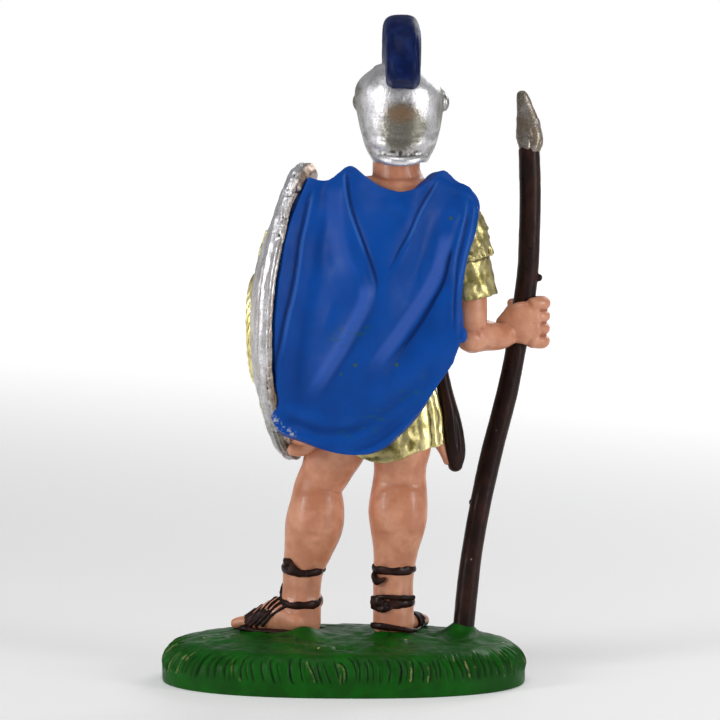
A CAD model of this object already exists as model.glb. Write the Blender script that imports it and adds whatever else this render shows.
import math

import bpy
import numpy as np
from mathutils import Euler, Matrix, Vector


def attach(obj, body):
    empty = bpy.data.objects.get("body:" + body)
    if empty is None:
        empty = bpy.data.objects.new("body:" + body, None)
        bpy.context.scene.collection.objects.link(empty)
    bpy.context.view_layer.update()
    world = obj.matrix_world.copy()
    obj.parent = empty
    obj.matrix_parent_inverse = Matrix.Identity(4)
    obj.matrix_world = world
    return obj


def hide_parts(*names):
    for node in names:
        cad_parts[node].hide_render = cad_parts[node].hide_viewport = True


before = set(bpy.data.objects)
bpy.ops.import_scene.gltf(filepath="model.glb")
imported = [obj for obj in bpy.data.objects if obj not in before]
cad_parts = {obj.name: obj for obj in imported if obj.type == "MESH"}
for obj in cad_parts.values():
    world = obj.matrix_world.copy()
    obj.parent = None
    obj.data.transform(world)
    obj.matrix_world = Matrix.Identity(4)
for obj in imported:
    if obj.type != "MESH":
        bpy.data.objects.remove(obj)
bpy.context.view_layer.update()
print("frame loaded")

# Lengths below are millimetres on the figure, from the soles' level, unless a note says otherwise.
figure = {
    "soleLevel": 7.3,  # above the underside
    "facesKept": 0.5,  # share of a finished skin's faces that stay
}


def worldPoints(points):
    moved = np.array(points, float)
    moved[:, 2] += figure["soleLevel"]
    return moved / 1000


def smoothRows(rows, steps):
    # a soft curve through the given rows
    rows = np.array(rows, float)
    padded = np.vstack([rows[:1], rows, rows[-1:]])
    made = []
    for i in range(1, len(padded) - 2):
        a, b, c, d = padded[i - 1 : i + 3]
        for step in range(steps):
            t = step / steps
            made.append(
                0.5
                * (
                    2 * b
                    + (c - a) * t
                    + (2 * a - 5 * b + 4 * c - d) * t**2
                    + (3 * b - a - 3 * c + d) * t**3
                )
            )
    made.append(padded[-2])
    return np.array(made)


def fullTurn(count):
    # angles all the way round
    return np.linspace(0, 2 * math.pi, count, endpoint=False)


def newClay():
    return {"points": [], "faces": [], "count": 0}


def addMesh(clay, points, faces):
    clay["points"].append(np.array(points, float))
    clay["faces"].extend([tuple(int(i) + clay["count"] for i in face) for face in faces])
    clay["count"] += len(points)


def addRings(clay, rings):
    # closed form through rings of equal size
    levels, sides = len(rings), len(rings[0])
    faces = [tuple(range(sides))[::-1], tuple(range((levels - 1) * sides, levels * sides))]
    for level in range(levels - 1):
        low, high = level * sides, (level + 1) * sides
        for k in range(sides):
            j = (k + 1) % sides
            faces.append((low + k, low + j, high + j, high + k))
    points = np.vstack(rings)
    middle = points.mean(0)
    spread = 0
    for face in faces[2:]:
        a, b, c = points[face[0]], points[face[1]], points[face[2]]
        spread += np.dot(np.cross(b - a, c - a), (a + c) / 2 - middle)
    if spread < 0:
        faces = [face[::-1] for face in faces]
    addMesh(clay, points, faces)


def limb(clay, stations, across=(1, 0, 0), sides=30, steps=6, caps=(25, 48, 68, 83)):
    # stations are x, y, z, half width, half depth; caps are the angles of its rounded ends
    rows = list(smoothRows(stations, steps))
    start = rows[0][:3] - rows[1][:3]
    end = rows[-1][:3] - rows[-2][:3]
    start, end = start / np.linalg.norm(start), end / np.linalg.norm(end)
    first, last = rows[0].copy(), rows[-1].copy()
    for angle in np.radians(caps):
        for row, way, atStart in ((first, start, True), (last, end, False)):
            cap = row.copy()
            cap[:3] += way * 0.8 * min(row[3], row[4]) * math.sin(angle)
            cap[3:] *= math.cos(angle)
            if atStart:
                rows.insert(0, cap)
            else:
                rows.append(cap)
    rows = np.array(rows)
    turns = fullTurn(sides)
    rings = []
    for i, row in enumerate(rows):
        run = rows[min(i + 1, len(rows) - 1)][:3] - rows[max(i - 1, 0)][:3]
        run = run / np.linalg.norm(run)
        side = np.array(across, float) - np.dot(across, run) * run
        side /= np.linalg.norm(side)
        depth = np.cross(run, side)
        rings.append(
            row[:3]
            + np.outer(np.cos(turns) * row[3], side)
            + np.outer(np.sin(turns) * row[4], depth)
        )
    addRings(clay, rings)


def rod(clay, points, radius, sides=14, steps=5):
    radii = radius if hasattr(radius, "__len__") else [radius] * len(points)
    limb(
        clay, [(*p, r, r) for p, r in zip(points, radii)], across=(0.3, 0.2, 1), sides=sides,
        steps=steps,
    )


def ball(clay, centre, radii, turn=(0, 0, 0), rows=16, sides=28):
    spin = np.array(Euler([math.radians(a) for a in turn]).to_matrix())
    turns = fullTurn(sides)
    rings = []
    for k in range(1, rows):
        polar = math.pi * k / rows
        ring = np.stack(
            [
                np.cos(turns) * math.sin(polar), np.sin(turns) * math.sin(polar),
                np.full(sides, -math.cos(polar)),
            ],
            1,
        )
        rings.append((ring * np.array(radii)) @ spin.T + np.array(centre))
    addRings(clay, rings)


def meshObject(name, points, faces):
    mesh = bpy.data.meshes.new(name)
    mesh.from_pydata([tuple(p) for p in points], [], faces)
    mesh.update()
    made = bpy.data.objects.new(name, mesh)
    bpy.context.scene.collection.objects.link(made)
    return made


def applyModifiers(made):
    bpy.context.view_layer.update()
    graph = bpy.context.evaluated_depsgraph_get()
    made.data = bpy.data.meshes.new_from_object(made.evaluated_get(graph))
    made.modifiers.clear()


# Fineness of each fused skin
cells = {
    "soldierSkin": 0.19, "soldierHead": 0.13, "soldierHelmet": 0.14, "helmetCrest": 0.13,
    "shieldPlate": 0.19, "shieldEmblem": 0.16, "soldierTunic": 0.21, "soldierCloak": 0.21,
    "spearShaft": 0.15, "spearHead": 0.12, "sandalThongs": 0.14,
}


def fuse(name, clay, soften=2):
    # one skin over overlapping forms
    made = meshObject(name, np.vstack(clay["points"]), clay["faces"])
    skin = made.modifiers.new("skin", "REMESH")
    skin.mode = "VOXEL"
    skin.voxel_size = cells[name]
    if soften:
        soft = made.modifiers.new("soft", "SMOOTH")
        soft.factor = 0.5
        soft.iterations = soften
    applyModifiers(made)
    return made


def readShape(made):
    mesh = made.data
    points = np.empty(len(mesh.vertices) * 3)
    mesh.vertices.foreach_get("co", points)
    normals = np.empty(len(mesh.vertices) * 3)
    mesh.vertex_normals.foreach_get("vector", normals)
    edges = np.empty(len(mesh.edges) * 2, dtype=np.int64)
    mesh.edges.foreach_get("vertices", edges)
    return {
        "points": points.reshape(-1, 3), "normals": normals.reshape(-1, 3),
        "edges": edges.reshape(-1, 2),
    }


def writeShape(made, points):
    made.data.vertices.foreach_set("co", np.ascontiguousarray(points).ravel())
    made.data.update()


def roughen(made, shape, heights):
    # lift the surface along its normals and read it again
    writeShape(made, shape["points"] + shape["normals"] * heights[:, None])
    return readShape(made)


def relaxed(shape, values, rounds):
    # average over the neighbours, again and again
    a, b = shape["edges"].T
    count = len(shape["points"])
    shares = np.bincount(a, minlength=count) + np.bincount(b, minlength=count)
    flat = values.reshape(count, -1).copy()
    for _ in range(rounds):
        for k in range(flat.shape[1]):
            column = flat[:, k]
            around = np.bincount(a, column[b], count) + np.bincount(b, column[a], count)
            flat[:, k] = 0.4 * column + 0.6 * around / np.maximum(shares, 1)
    return flat.reshape(values.shape)


def hollowness(shape, rounds, depth):
    # 1 in a groove of that depth, -1 on a ridge, 0 where it is flat
    smooth = relaxed(shape, shape["points"], rounds)
    return np.clip(np.einsum("ij,ij->i", smooth - shape["points"], shape["normals"]) / depth, -1, 1)


def setMask(made, name, values):
    mask = made.data.attributes.get(name) or made.data.attributes.new(name, "FLOAT", "POINT")
    mask.data.foreach_set("value", np.ascontiguousarray(values, dtype=np.float32))


def ease(values):
    t = np.clip(values, 0, 1)
    return t * t * (3 - 2 * t)


def lumps(points, size, seed=0):
    # soft random values from -1 to 1, of that size
    q = np.asarray(points, float) / size + 37.0
    cell = np.floor(q)
    f = q - cell
    f = f * f * (3 - 2 * f)
    total = np.zeros(len(q))
    for dx in (0, 1):
        for dy in (0, 1):
            for dz in (0, 1):
                corner = cell + (dx, dy, dz)
                dots = corner @ np.array([127.1, 311.7, 74.7]) + seed * 13.37
                value = np.modf(np.abs(np.sin(dots) * 43758.5453))[0]
                weight = (
                    (f[:, 0] if dx else 1 - f[:, 0])
                    * (f[:, 1] if dy else 1 - f[:, 1])
                    * (f[:, 2] if dz else 1 - f[:, 2])
                )
                total += weight * value
    return total * 2 - 1


def nearLine(points, line, reach):
    # index, distance and share along the line of every point within reach of it
    line = np.asarray(line, float)
    low, high = line.min(0) - reach, line.max(0) + reach
    index = np.nonzero(np.all((points >= low) & (points <= high), axis=1))[0]
    if len(index) == 0:
        return index, np.zeros(0), np.zeros(0)
    chosen = points[index]
    lengths = np.linalg.norm(np.diff(line, axis=0), axis=1)
    run = np.concatenate([[0], np.cumsum(lengths)])
    best = np.full(len(index), 1e9)
    share = np.zeros(len(index))
    for i, length in enumerate(lengths):
        if length < 1e-9:
            continue
        way = (line[i + 1] - line[i]) / length
        t = np.clip((chosen - line[i]) @ way, 0, length)
        apart = np.linalg.norm(chosen - line[i] - t[:, None] * way, axis=1)
        closer = apart < best
        best[closer] = apart[closer]
        share[closer] = (run[i] + t[closer]) / run[-1]
    close = best < reach
    return index[close], best[close], share[close]


def press(shape, line, width, height, fade=(0.15, 0.15), steps=6):
    # a ridge, or a groove where height is below 0, along a line on the surface
    index, apart, share = nearLine(shape["points"], smoothRows(line, steps), width * 2.6)
    along = ease(share / max(fade[0], 1e-3)) * ease((1 - share) / max(fade[1], 1e-3))
    shape["points"][index] += (
        shape["normals"][index] * (height * along * np.exp(-((apart / width) ** 2)))[:, None]
    )


def paintLine(points, mask, line, width, strength=1.0, steps=6, soft=0.35):
    index, apart, share = nearLine(points, smoothRows(line, steps), width * 1.5)
    amount = strength * ease((width - apart) / (soft * width) + 0.5)
    mask[index] = np.maximum(mask[index], amount)


def thin(made):
    # fewer faces where the surface is nearly flat
    fewer = made.modifiers.new("fewer", "DECIMATE")
    fewer.ratio = figure["facesKept"]
    applyModifiers(made)


def settle(made, points, material):
    # final place in metres, material and slot
    writeShape(made, points)
    thin(made)
    points = readShape(made)["points"]
    points[:, 2] = np.maximum(points[:, 2], -figure["soleLevel"])
    writeShape(made, worldPoints(points))
    made.data.polygons.foreach_set("use_smooth", np.ones(len(made.data.polygons), dtype=bool))
    made.data.materials.clear()
    made.data.materials.append(material)
    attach(made, "root")
    print(made.name, len(made.data.polygons), "faces")
    return made


# Paints. A tree helper keeps each material short.
def startPaint(name):
    material = bpy.data.materials.new(name)
    material.use_nodes = True
    tree = material.node_tree
    shader = tree.nodes["Principled BSDF"]
    where = tree.nodes.new("ShaderNodeTexCoord")
    return material, {"tree": tree, "shader": shader, "where": where.outputs["Object"]}


def join(paint, source, socket):
    if isinstance(source, (int, float)):
        socket.default_value = source
    elif isinstance(source, tuple):
        socket.default_value = (*source, 1.0)
    else:
        paint["tree"].links.new(source, socket)


def noise(paint, size, detail=3.0, roughness=0.55, stretch=None):
    # size in millimetres
    node = paint["tree"].nodes.new("ShaderNodeTexNoise")
    node.inputs["Scale"].default_value = 1000 / size
    node.inputs["Detail"].default_value = detail
    node.inputs["Roughness"].default_value = roughness
    where = paint["where"]
    if stretch:
        mapping = paint["tree"].nodes.new("ShaderNodeMapping")
        mapping.inputs["Scale"].default_value = stretch
        paint["tree"].links.new(where, mapping.inputs["Vector"])
        where = mapping.outputs["Vector"]
    paint["tree"].links.new(where, node.inputs["Vector"])
    return node.outputs["Fac"]


def mask(paint, name):
    node = paint["tree"].nodes.new("ShaderNodeAttribute")
    node.attribute_name = name
    return node.outputs["Fac"]


def spread(paint, value, low, high, outLow=0.0, outHigh=1.0):
    node = paint["tree"].nodes.new("ShaderNodeMapRange")
    node.interpolation_type = "SMOOTHSTEP"
    join(paint, value, node.inputs["Value"])
    node.inputs["From Min"].default_value = low
    node.inputs["From Max"].default_value = high
    node.inputs["To Min"].default_value = outLow
    node.inputs["To Max"].default_value = outHigh
    return node.outputs["Result"]


def reckon(paint, kind, a, b):
    node = paint["tree"].nodes.new("ShaderNodeMath")
    node.operation = kind
    join(paint, a, node.inputs[0])
    join(paint, b, node.inputs[1])
    return node.outputs[0]


def times(paint, a, b):
    return reckon(paint, "MULTIPLY", a, b)


def plus(paint, a, b):
    return reckon(paint, "ADD", a, b)


def mixColour(paint, amount, a, b):
    node = paint["tree"].nodes.new("ShaderNodeMix")
    node.data_type = "RGBA"
    join(paint, amount, node.inputs[0])
    join(paint, a, node.inputs[6])
    join(paint, b, node.inputs[7])
    return node.outputs[2]


def dots(paint, size, cover):
    # small specks, cover is their radius as a share of the spacing
    node = paint["tree"].nodes.new("ShaderNodeTexVoronoi")
    node.inputs["Scale"].default_value = 1000 / size
    paint["tree"].links.new(paint["where"], node.inputs["Vector"])
    return spread(paint, node.outputs["Distance"], cover, cover * 0.6)


def bump(paint, heights, strength, distance=0.0001):
    node = paint["tree"].nodes.new("ShaderNodeBump")
    node.inputs["Strength"].default_value = strength
    node.inputs["Distance"].default_value = distance
    join(paint, heights, node.inputs["Height"])
    paint["tree"].links.new(node.outputs["Normal"], paint["shader"].inputs["Normal"])


def setShader(paint, **values):
    for name, value in values.items():
        socket = paint["shader"].inputs[name.replace("_", " ")]
        join(paint, value, socket)


skinPaint = {
    "base": (0.525, 0.205, 0.108),
    "light": (0.67, 0.31, 0.185),
    "shade": (0.33, 0.105, 0.050),
    "green": (0.004, 0.055, 0.006),
    "roughness": 0.34,
    "gloss": 0.45,
}


def makeSkinPaint():
    material, paint = startPaint("fleshPaint")
    patch = noise(paint, 3.2, 3)
    colour = mixColour(
        paint, spread(paint, patch, 0.35, 0.7), skinPaint["base"], skinPaint["light"]
    )
    hollow = mask(paint, "hollow")
    colour = mixColour(
        paint, spread(paint, hollow, 0.02, 0.75, 0, 0.85), colour, skinPaint["shade"]
    )
    colour = mixColour(paint, spread(paint, hollow, -0.1, -0.8, 0, 0.5), colour, skinPaint["light"])
    pits = times(paint, dots(paint, 1.1, 0.06), 0.35)
    colour = mixColour(paint, pits, colour, skinPaint["shade"])
    spill = plus(
        paint, mask(paint, "grass"),
        times(paint, reckon(paint, "SUBTRACT", noise(paint, 0.9, 4), 0.5), 0.7),
    )
    colour = mixColour(paint, spread(paint, spill, 0.42, 0.58), colour, skinPaint["green"])
    setShader(
        paint, Base_Color=colour,
        Roughness=spread(
            paint, noise(paint, 1.4, 2), 0.3, 0.7, skinPaint["roughness"] - 0.06,
            skinPaint["roughness"] + 0.1,
        ),
    )
    setShader(paint, Specular_IOR_Level=skinPaint["gloss"])
    bump(paint, noise(paint, 0.5, 2), 0.18, 0.00006)
    return material


cloakPaint = {
    "base": (0.0030, 0.064, 0.335),
    "light": (0.018, 0.100, 0.430),
    "shade": (0.003, 0.040, 0.215),
    "green": (0.012, 0.085, 0.120),
    "crease": (0.002, 0.022, 0.13),
    "edge": (0.050, 0.165, 0.52),
    "raised": (0.042, 0.112, 0.45),
    "worn": (0.36, 0.38, 0.44),
    "stain": (0.030, 0.085, 0.100),
    "speck": (0.004, 0.02, 0.10),
    "roughness": 0.40,
    "gloss": 0.09,
}


def makeCloakPaint():
    material, paint = startPaint("blueCloakPaint")
    hollow = mask(paint, "hollow")
    colour = mixColour(
        paint, spread(paint, noise(paint, 5.0, 3), 0.35, 0.7, 0, 0.35), cloakPaint["base"],
        cloakPaint["shade"],
    )
    colour = mixColour(paint, spread(paint, hollow, 0.03, 0.7, 0, 0.9), colour, cloakPaint["shade"])
    colour = mixColour(
        paint, spread(paint, hollow, -0.20, -0.9, 0, 0.35), colour, cloakPaint["light"]
    )
    colour = mixColour(
        paint, times(paint, mask(paint, "crease"), 0.85), colour, cloakPaint["crease"]
    )
    colour = mixColour(paint, times(paint, mask(paint, "edge"), 0.6), colour, cloakPaint["edge"])
    colour = mixColour(
        paint, times(paint, mask(paint, "raised"), 0.70), colour, cloakPaint["raised"]
    )
    streak = times(
        paint, mask(paint, "streak"),
        spread(paint, noise(paint, 1.1, 4, stretch=(0.6, 1, 1.6)), 0.5, 0.68),
    )
    colour = mixColour(paint, times(paint, streak, 0.6), colour, cloakPaint["green"])
    worn = times(paint, mask(paint, "worn"), spread(paint, noise(paint, 0.6, 4), 0.48, 0.56))
    colour = mixColour(paint, worn, colour, cloakPaint["worn"])
    stains = times(paint, dots(paint, 5.2, 0.085), spread(paint, noise(paint, 9.0, 1), 0.46, 0.52))
    colour = mixColour(paint, stains, colour, cloakPaint["stain"])
    specks = times(paint, dots(paint, 2.3, 0.05), 0.7)
    colour = mixColour(paint, specks, colour, cloakPaint["speck"])
    setShader(
        paint, Base_Color=colour,
        Roughness=spread(
            paint, noise(paint, 2.0, 3), 0.3, 0.7, cloakPaint["roughness"] - 0.05,
            cloakPaint["roughness"] + 0.1,
        ),
    )
    setShader(paint, Specular_IOR_Level=cloakPaint["gloss"])
    bump(
        paint,
        reckon(paint, "SUBTRACT", noise(paint, 0.9, 3), times(paint, dots(paint, 2.9, 0.06), 0.6)),
        0.22, 0.00008,
    )
    return material


crestPaint = {
    "base": (0.0030, 0.0085, 0.052),
    "light": (0.006, 0.018, 0.090),
    "edge": (0.035, 0.060, 0.17),
    "roughness": 0.42,
    "gloss": 0.08,
}


def makeCrestPaint():
    material, paint = startPaint("navyCrestPaint")
    colour = mixColour(
        paint, spread(paint, noise(paint, 1.6, 4), 0.4, 0.7), crestPaint["base"],
        crestPaint["light"],
    )
    edge = spread(paint, mask(paint, "hollow"), -0.25, -0.85, 0, 0.7)
    colour = mixColour(paint, edge, colour, crestPaint["edge"])
    setShader(
        paint, Base_Color=colour, Roughness=crestPaint["roughness"],
        Specular_IOR_Level=crestPaint["gloss"],
    )
    bump(paint, noise(paint, 0.45, 3), 0.35, 0.00010)
    return material


silverPaint = {
    "base": (0.82, 0.81, 0.84),
    "dull": (0.170, 0.162, 0.128),
    "wash": (0.050, 0.040, 0.028),
    "warm": (0.30, 0.165, 0.080),
    "speckle": (0.40, 0.385, 0.37),
    "roughness": 0.40,
    "gloss": 0.4,
}


def makeSilverPaint():
    material, paint = startPaint("silverPaint")
    hollow = mask(paint, "hollow")
    grains = spread(paint, noise(paint, 0.32, 3, 0.7), 0.40, 0.62)
    cloudy = spread(paint, noise(paint, 2.6, 4), 0.38, 0.66)
    dull = times(
        paint, plus(paint, times(paint, cloudy, 0.35), mask(paint, "dull")),
        plus(paint, 0.72, times(paint, grains, 0.28)),
    )
    speckle = spread(paint, noise(paint, 0.42, 2, 0.8), 0.50, 0.66, 0, 0.55)
    colour = mixColour(paint, speckle, silverPaint["base"], silverPaint["speckle"])
    colour = mixColour(paint, dull, colour, silverPaint["dull"])
    colour = mixColour(paint, times(paint, mask(paint, "warm"), 0.75), colour, silverPaint["warm"])
    wash = plus(paint, spread(paint, hollow, 0.08, 0.7), times(paint, dots(paint, 0.9, 0.10), 0.45))
    wash = reckon(paint, "MINIMUM", wash, 1.0)
    colour = mixColour(paint, wash, colour, silverPaint["wash"])
    rough = spread(
        paint, plus(paint, times(paint, grains, 0.5), wash), 0.0, 1.5,
        silverPaint["roughness"] - 0.06, silverPaint["roughness"] + 0.28,
    )
    metal = spread(paint, plus(paint, wash, times(paint, dull, 0.5)), 0.2, 1.0, 0.85, 0.25)
    setShader(
        paint, Base_Color=colour, Roughness=rough, Metallic=metal,
        Specular_IOR_Level=silverPaint["gloss"],
    )
    bump(
        paint, plus(paint, noise(paint, 0.28, 2, 0.6), times(paint, noise(paint, 0.9, 3), 1.2)),
        0.62, 0.00009,
    )
    return material


goldPaint = {
    "base": (0.95, 0.83, 0.40),
    "dull": (0.55, 0.47, 0.17),
    "wash": (0.075, 0.062, 0.016),
    "tarnish": (0.125, 0.100, 0.020),
    "roughness": 0.36,
    "gloss": 0.4,
}


def makeGoldPaint():
    material, paint = startPaint("goldPaint")
    hollow = mask(paint, "hollow")
    cloudy = spread(paint, noise(paint, 1.8, 4), 0.40, 0.66)
    colour = mixColour(paint, cloudy, goldPaint["base"], goldPaint["dull"])
    colour = mixColour(
        paint, times(paint, mask(paint, "tarnish"), plus(paint, 0.70, times(paint, cloudy, 0.30))),
        colour, goldPaint["tarnish"],
    )
    wash = plus(paint, spread(paint, hollow, 0.0, 0.6), times(paint, dots(paint, 1.0, 0.12), 0.5))
    wash = reckon(
        paint, "MINIMUM",
        times(paint, wash, spread(paint, noise(paint, 0.9, 3), 0.25, 0.5, 0.6, 1.0)), 1.0,
    )
    colour = mixColour(paint, wash, colour, goldPaint["wash"])
    rough = spread(paint, wash, 0.0, 1.0, goldPaint["roughness"], goldPaint["roughness"] + 0.22)
    metal = spread(
        paint, plus(paint, wash, times(paint, mask(paint, "tarnish"), 0.45)), 0.2, 1.0, 0.78, 0.3
    )
    setShader(
        paint, Base_Color=colour, Roughness=rough, Metallic=metal,
        Specular_IOR_Level=goldPaint["gloss"],
    )
    bump(
        paint, plus(paint, noise(paint, 0.30, 2, 0.6), times(paint, noise(paint, 1.0, 3), 1.4)),
        0.38, 0.00009,
    )
    return material


brownPaint = {
    "base": (0.014, 0.0055, 0.0042),
    "light": (0.036, 0.012, 0.0085),
    "shade": (0.008, 0.004, 0.004),
    "chip": (0.40, 0.30, 0.24),
    "roughness": 0.32,
    "gloss": 0.16,
}


def makeBrownPaint():
    material, paint = startPaint("brownLeatherPaint")
    colour = mixColour(
        paint, spread(paint, noise(paint, 2.2, 4, stretch=(1.6, 1.6, 0.5)), 0.40, 0.70),
        brownPaint["base"], brownPaint["light"],
    )
    colour = mixColour(
        paint, spread(paint, mask(paint, "hollow"), 0.1, 0.8, 0, 0.7), colour, brownPaint["shade"]
    )
    chips = times(paint, dots(paint, 3.1, 0.07), spread(paint, noise(paint, 6.0, 1), 0.50, 0.58))
    colour = mixColour(paint, chips, colour, brownPaint["chip"])
    setShader(
        paint, Base_Color=colour,
        Roughness=spread(
            paint, noise(paint, 1.5, 3), 0.3, 0.7, brownPaint["roughness"] - 0.05,
            brownPaint["roughness"] + 0.14,
        ),
    )
    setShader(paint, Specular_IOR_Level=brownPaint["gloss"])
    bump(paint, noise(paint, 0.9, 3), 0.25, 0.00008)
    return material


grassPaint = {
    "base": (0.0045, 0.063, 0.0028),
    "bright": (0.0045, 0.095, 0.0035),
    "shade": (0.0040, 0.024, 0.0040),
    "tip": (0.40, 0.38, 0.15),
    "roughness": 0.40,
    "gloss": 0.11,
}


def makeGrassPaint():
    material, paint = startPaint("greenGrassPaint")
    colour = mixColour(
        paint, spread(paint, noise(paint, 4.5, 3), 0.38, 0.68), grassPaint["base"],
        grassPaint["bright"],
    )
    hollow = mask(paint, "hollow")
    colour = mixColour(
        paint, spread(paint, hollow, 0.05, 0.7, 0, 0.85), colour, grassPaint["shade"]
    )
    tip = times(paint, mask(paint, "tip"), spread(paint, noise(paint, 1.1, 3), 0.40, 0.60))
    colour = mixColour(
        paint, reckon(paint, "MINIMUM", times(paint, tip, 0.75), 1.0), colour, grassPaint["tip"]
    )
    worn = times(paint, dots(paint, 3.6, 0.085), spread(paint, noise(paint, 5.0, 1), 0.48, 0.56))
    colour = mixColour(paint, worn, colour, grassPaint["tip"])
    setShader(
        paint, Base_Color=colour,
        Roughness=spread(
            paint, noise(paint, 1.2, 3), 0.3, 0.7, grassPaint["roughness"] - 0.05,
            grassPaint["roughness"] + 0.12,
        ),
    )
    setShader(paint, Specular_IOR_Level=grassPaint["gloss"])
    bump(paint, noise(paint, 0.6, 3), 0.35, 0.00010)
    return material


# Each touch of paint on the face: its colour and strength
facePaint = {
    "blush": ((0.62, 0.20, 0.14), 0.30),
    "lips": ((0.42, 0.115, 0.085), 0.75),
    "eyeWhite": ((0.75, 0.72, 0.66), 1.0),
    "brow": ((0.05, 0.022, 0.012), 1.0),
    "iris": ((0.012, 0.008, 0.006), 1.0),
}


def makeFacePaint():
    material, paint = startPaint("facePaint")
    colour = mixColour(
        paint, spread(paint, noise(paint, 2.6, 3), 0.35, 0.7), skinPaint["base"],
        skinPaint["light"],
    )
    colour = mixColour(
        paint, spread(paint, mask(paint, "hollow"), 0.05, 0.8, 0, 0.5), colour, skinPaint["shade"]
    )
    for name, (tone, share) in facePaint.items():
        colour = mixColour(paint, times(paint, mask(paint, name), share), colour, tone)
    setShader(
        paint, Base_Color=colour, Roughness=skinPaint["roughness"], Specular_IOR_Level=0.5,
        Coat_Weight=0.15, Coat_Roughness=0.2,
    )
    bump(paint, noise(paint, 0.5, 2), 0.12, 0.00005)
    return material


paints = {
    "flesh": makeSkinPaint(),
    "cloak": makeCloakPaint(),
    "crest": makeCrestPaint(),
    "silver": makeSilverPaint(),
    "gold": makeGoldPaint(),
    "brown": makeBrownPaint(),
    "grass": makeGrassPaint(),
    "face": makeFacePaint(),
}
print("paints mixed")

# The soldier's pose. His right leg carries the weight.
pose = {
    "rightLeg": [
        (-7.6, -1.2, 44.0, 5.0, 5.2), (-9.1, -1.0, 33.0, 5.1, 4.7), (-9.0, -1.0, 27.5, 4.3, 4.2),
        (-8.9, -1.3, 24.6, 4.4, 3.9),
        (-8.7, -0.7, 20.6, 4.8, 4.4), (-8.6, -0.6, 17.6, 4.5, 4.1), (-8.3, -1.1, 13.3, 3.6, 3.4),
        (-8.0, -1.5, 9.0, 3.3, 3.1),
        (-8.0, -1.4, 5.0, 3.3, 3.3), (-8.1, -1.3, 1.6, 3.4, 3.5),
    ],
    "leftLeg": [
        (-0.5, -1.8, 44.0, 5.0, 5.2), (0.7, -1.6, 33.0, 5.3, 4.7), (2.8, -1.6, 27.0, 4.2, 4.2),
        (4.2, -1.9, 24.0, 3.9, 3.9),
        (4.5, -1.4, 20.4, 4.55, 4.3), (5.0, -1.3, 17.2, 4.7, 4.2), (5.8, -1.8, 13.8, 4.0, 3.6),
        (6.6, -2.2, 10.6, 3.4, 3.2),
        (6.9, -2.4, 7.3, 3.15, 3.1), (7.0, -2.4, 4.0, 3.3, 3.2), (7.0, -2.4, 1.6, 3.3, 3.3),
    ],
    "rightFoot": ((-8.1, -0.6), (-9.9, -7.4), (-11.3, -11.4), 0.62),  # heel, instep, toes, height
    "leftFoot": ((6.8, -1.6), (13.2, -4.5), (16.2, -5.9), 0.96),
    "rightArm": [
        (-17.9, -1.0, 67.6, 2.9, 3.0), (-18.9, -0.8, 63.0, 3.2, 3.2), (-19.7, -0.3, 57.0, 3.0, 2.9),
        (-20.0, 0.2, 51.8, 2.8, 2.8), (-20.1, -0.3, 49.2, 2.5, 2.5),
    ],
    "rightForearm": [
        (-20.3, 0.4, 48.6, 2.7, 2.6), (-22.2, -2.4, 48.6, 2.6, 2.4), (-24.8, -5.2, 48.2, 2.2, 2.1),
        (-26.6, -6.9, 48.8, 2.1, 2.1),
    ],
    "leftArm": [
        (0.6, -1.0, 68.4, 2.2, 2.2), (1.9, -1.0, 63.0, 2.9, 2.9), (3.2, -0.4, 56.0, 2.6, 2.8),
        (4.2, -0.2, 50.5, 2.4, 2.6), (5.4, -0.6, 43.0, 2.2, 2.3), (6.1, 0.4, 36.5, 1.8, 2.0),
        (6.0, 1.6, 33.5, 1.9, 2.2),
    ],
    "neck": [
        (-8.7, -1.0, 71.0, 5.0, 4.4), (-8.1, -1.3, 74.6, 3.9, 4.2), (-8.1, -1.6, 77.0, 3.85, 4.3),
        (-8.5, -1.9, 80.0, 4.2, 4.6),
    ],
    "head": (-8.7, -2.2, 85.2),
    "headTurn": 7.0,  # degrees to his left
}


def footStations(heel, instep, toe, high):
    middle = ((heel[0] + instep[0]) / 2, (heel[1] + instep[1]) / 2)
    return [
        (*heel, 1.9, 3.1, 2.2), (*middle, 2.6 * high, 2.9, 3.2 * high),
        (*instep, 1.7 * high, 3.0, 2.3 * high), (*toe, 0.8, 2.2, 1.2 * high),
    ]


def foot(clay, heel, instep, toe, high):
    side = np.array([instep[1] - heel[1], heel[0] - instep[0], 0.0])
    side /= np.linalg.norm(side)
    limb(clay, footStations(heel, instep, toe, high), across=side)
    run = np.array([toe[0] - instep[0], toe[1] - instep[1], 0.0])
    run /= np.linalg.norm(run)
    for k, (offset, length, fat) in enumerate(
        ((-2.1, 2.6, 0.95), (-0.9, 3.0, 0.75), (0.1, 2.9, 0.7), (1.1, 2.5, 0.65), (1.9, 1.9, 0.6))
    ):
        if heel[0] < 0:
            offset = -offset
        start = np.array([*instep, 1.3 * high]) + side * offset * 0.95 + run * 1.5
        end = start + run * length + np.array([0, 0, -0.35])
        rod(clay, [start, (start + end) / 2 + (0, 0, 0.25), end], fat)


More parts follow.
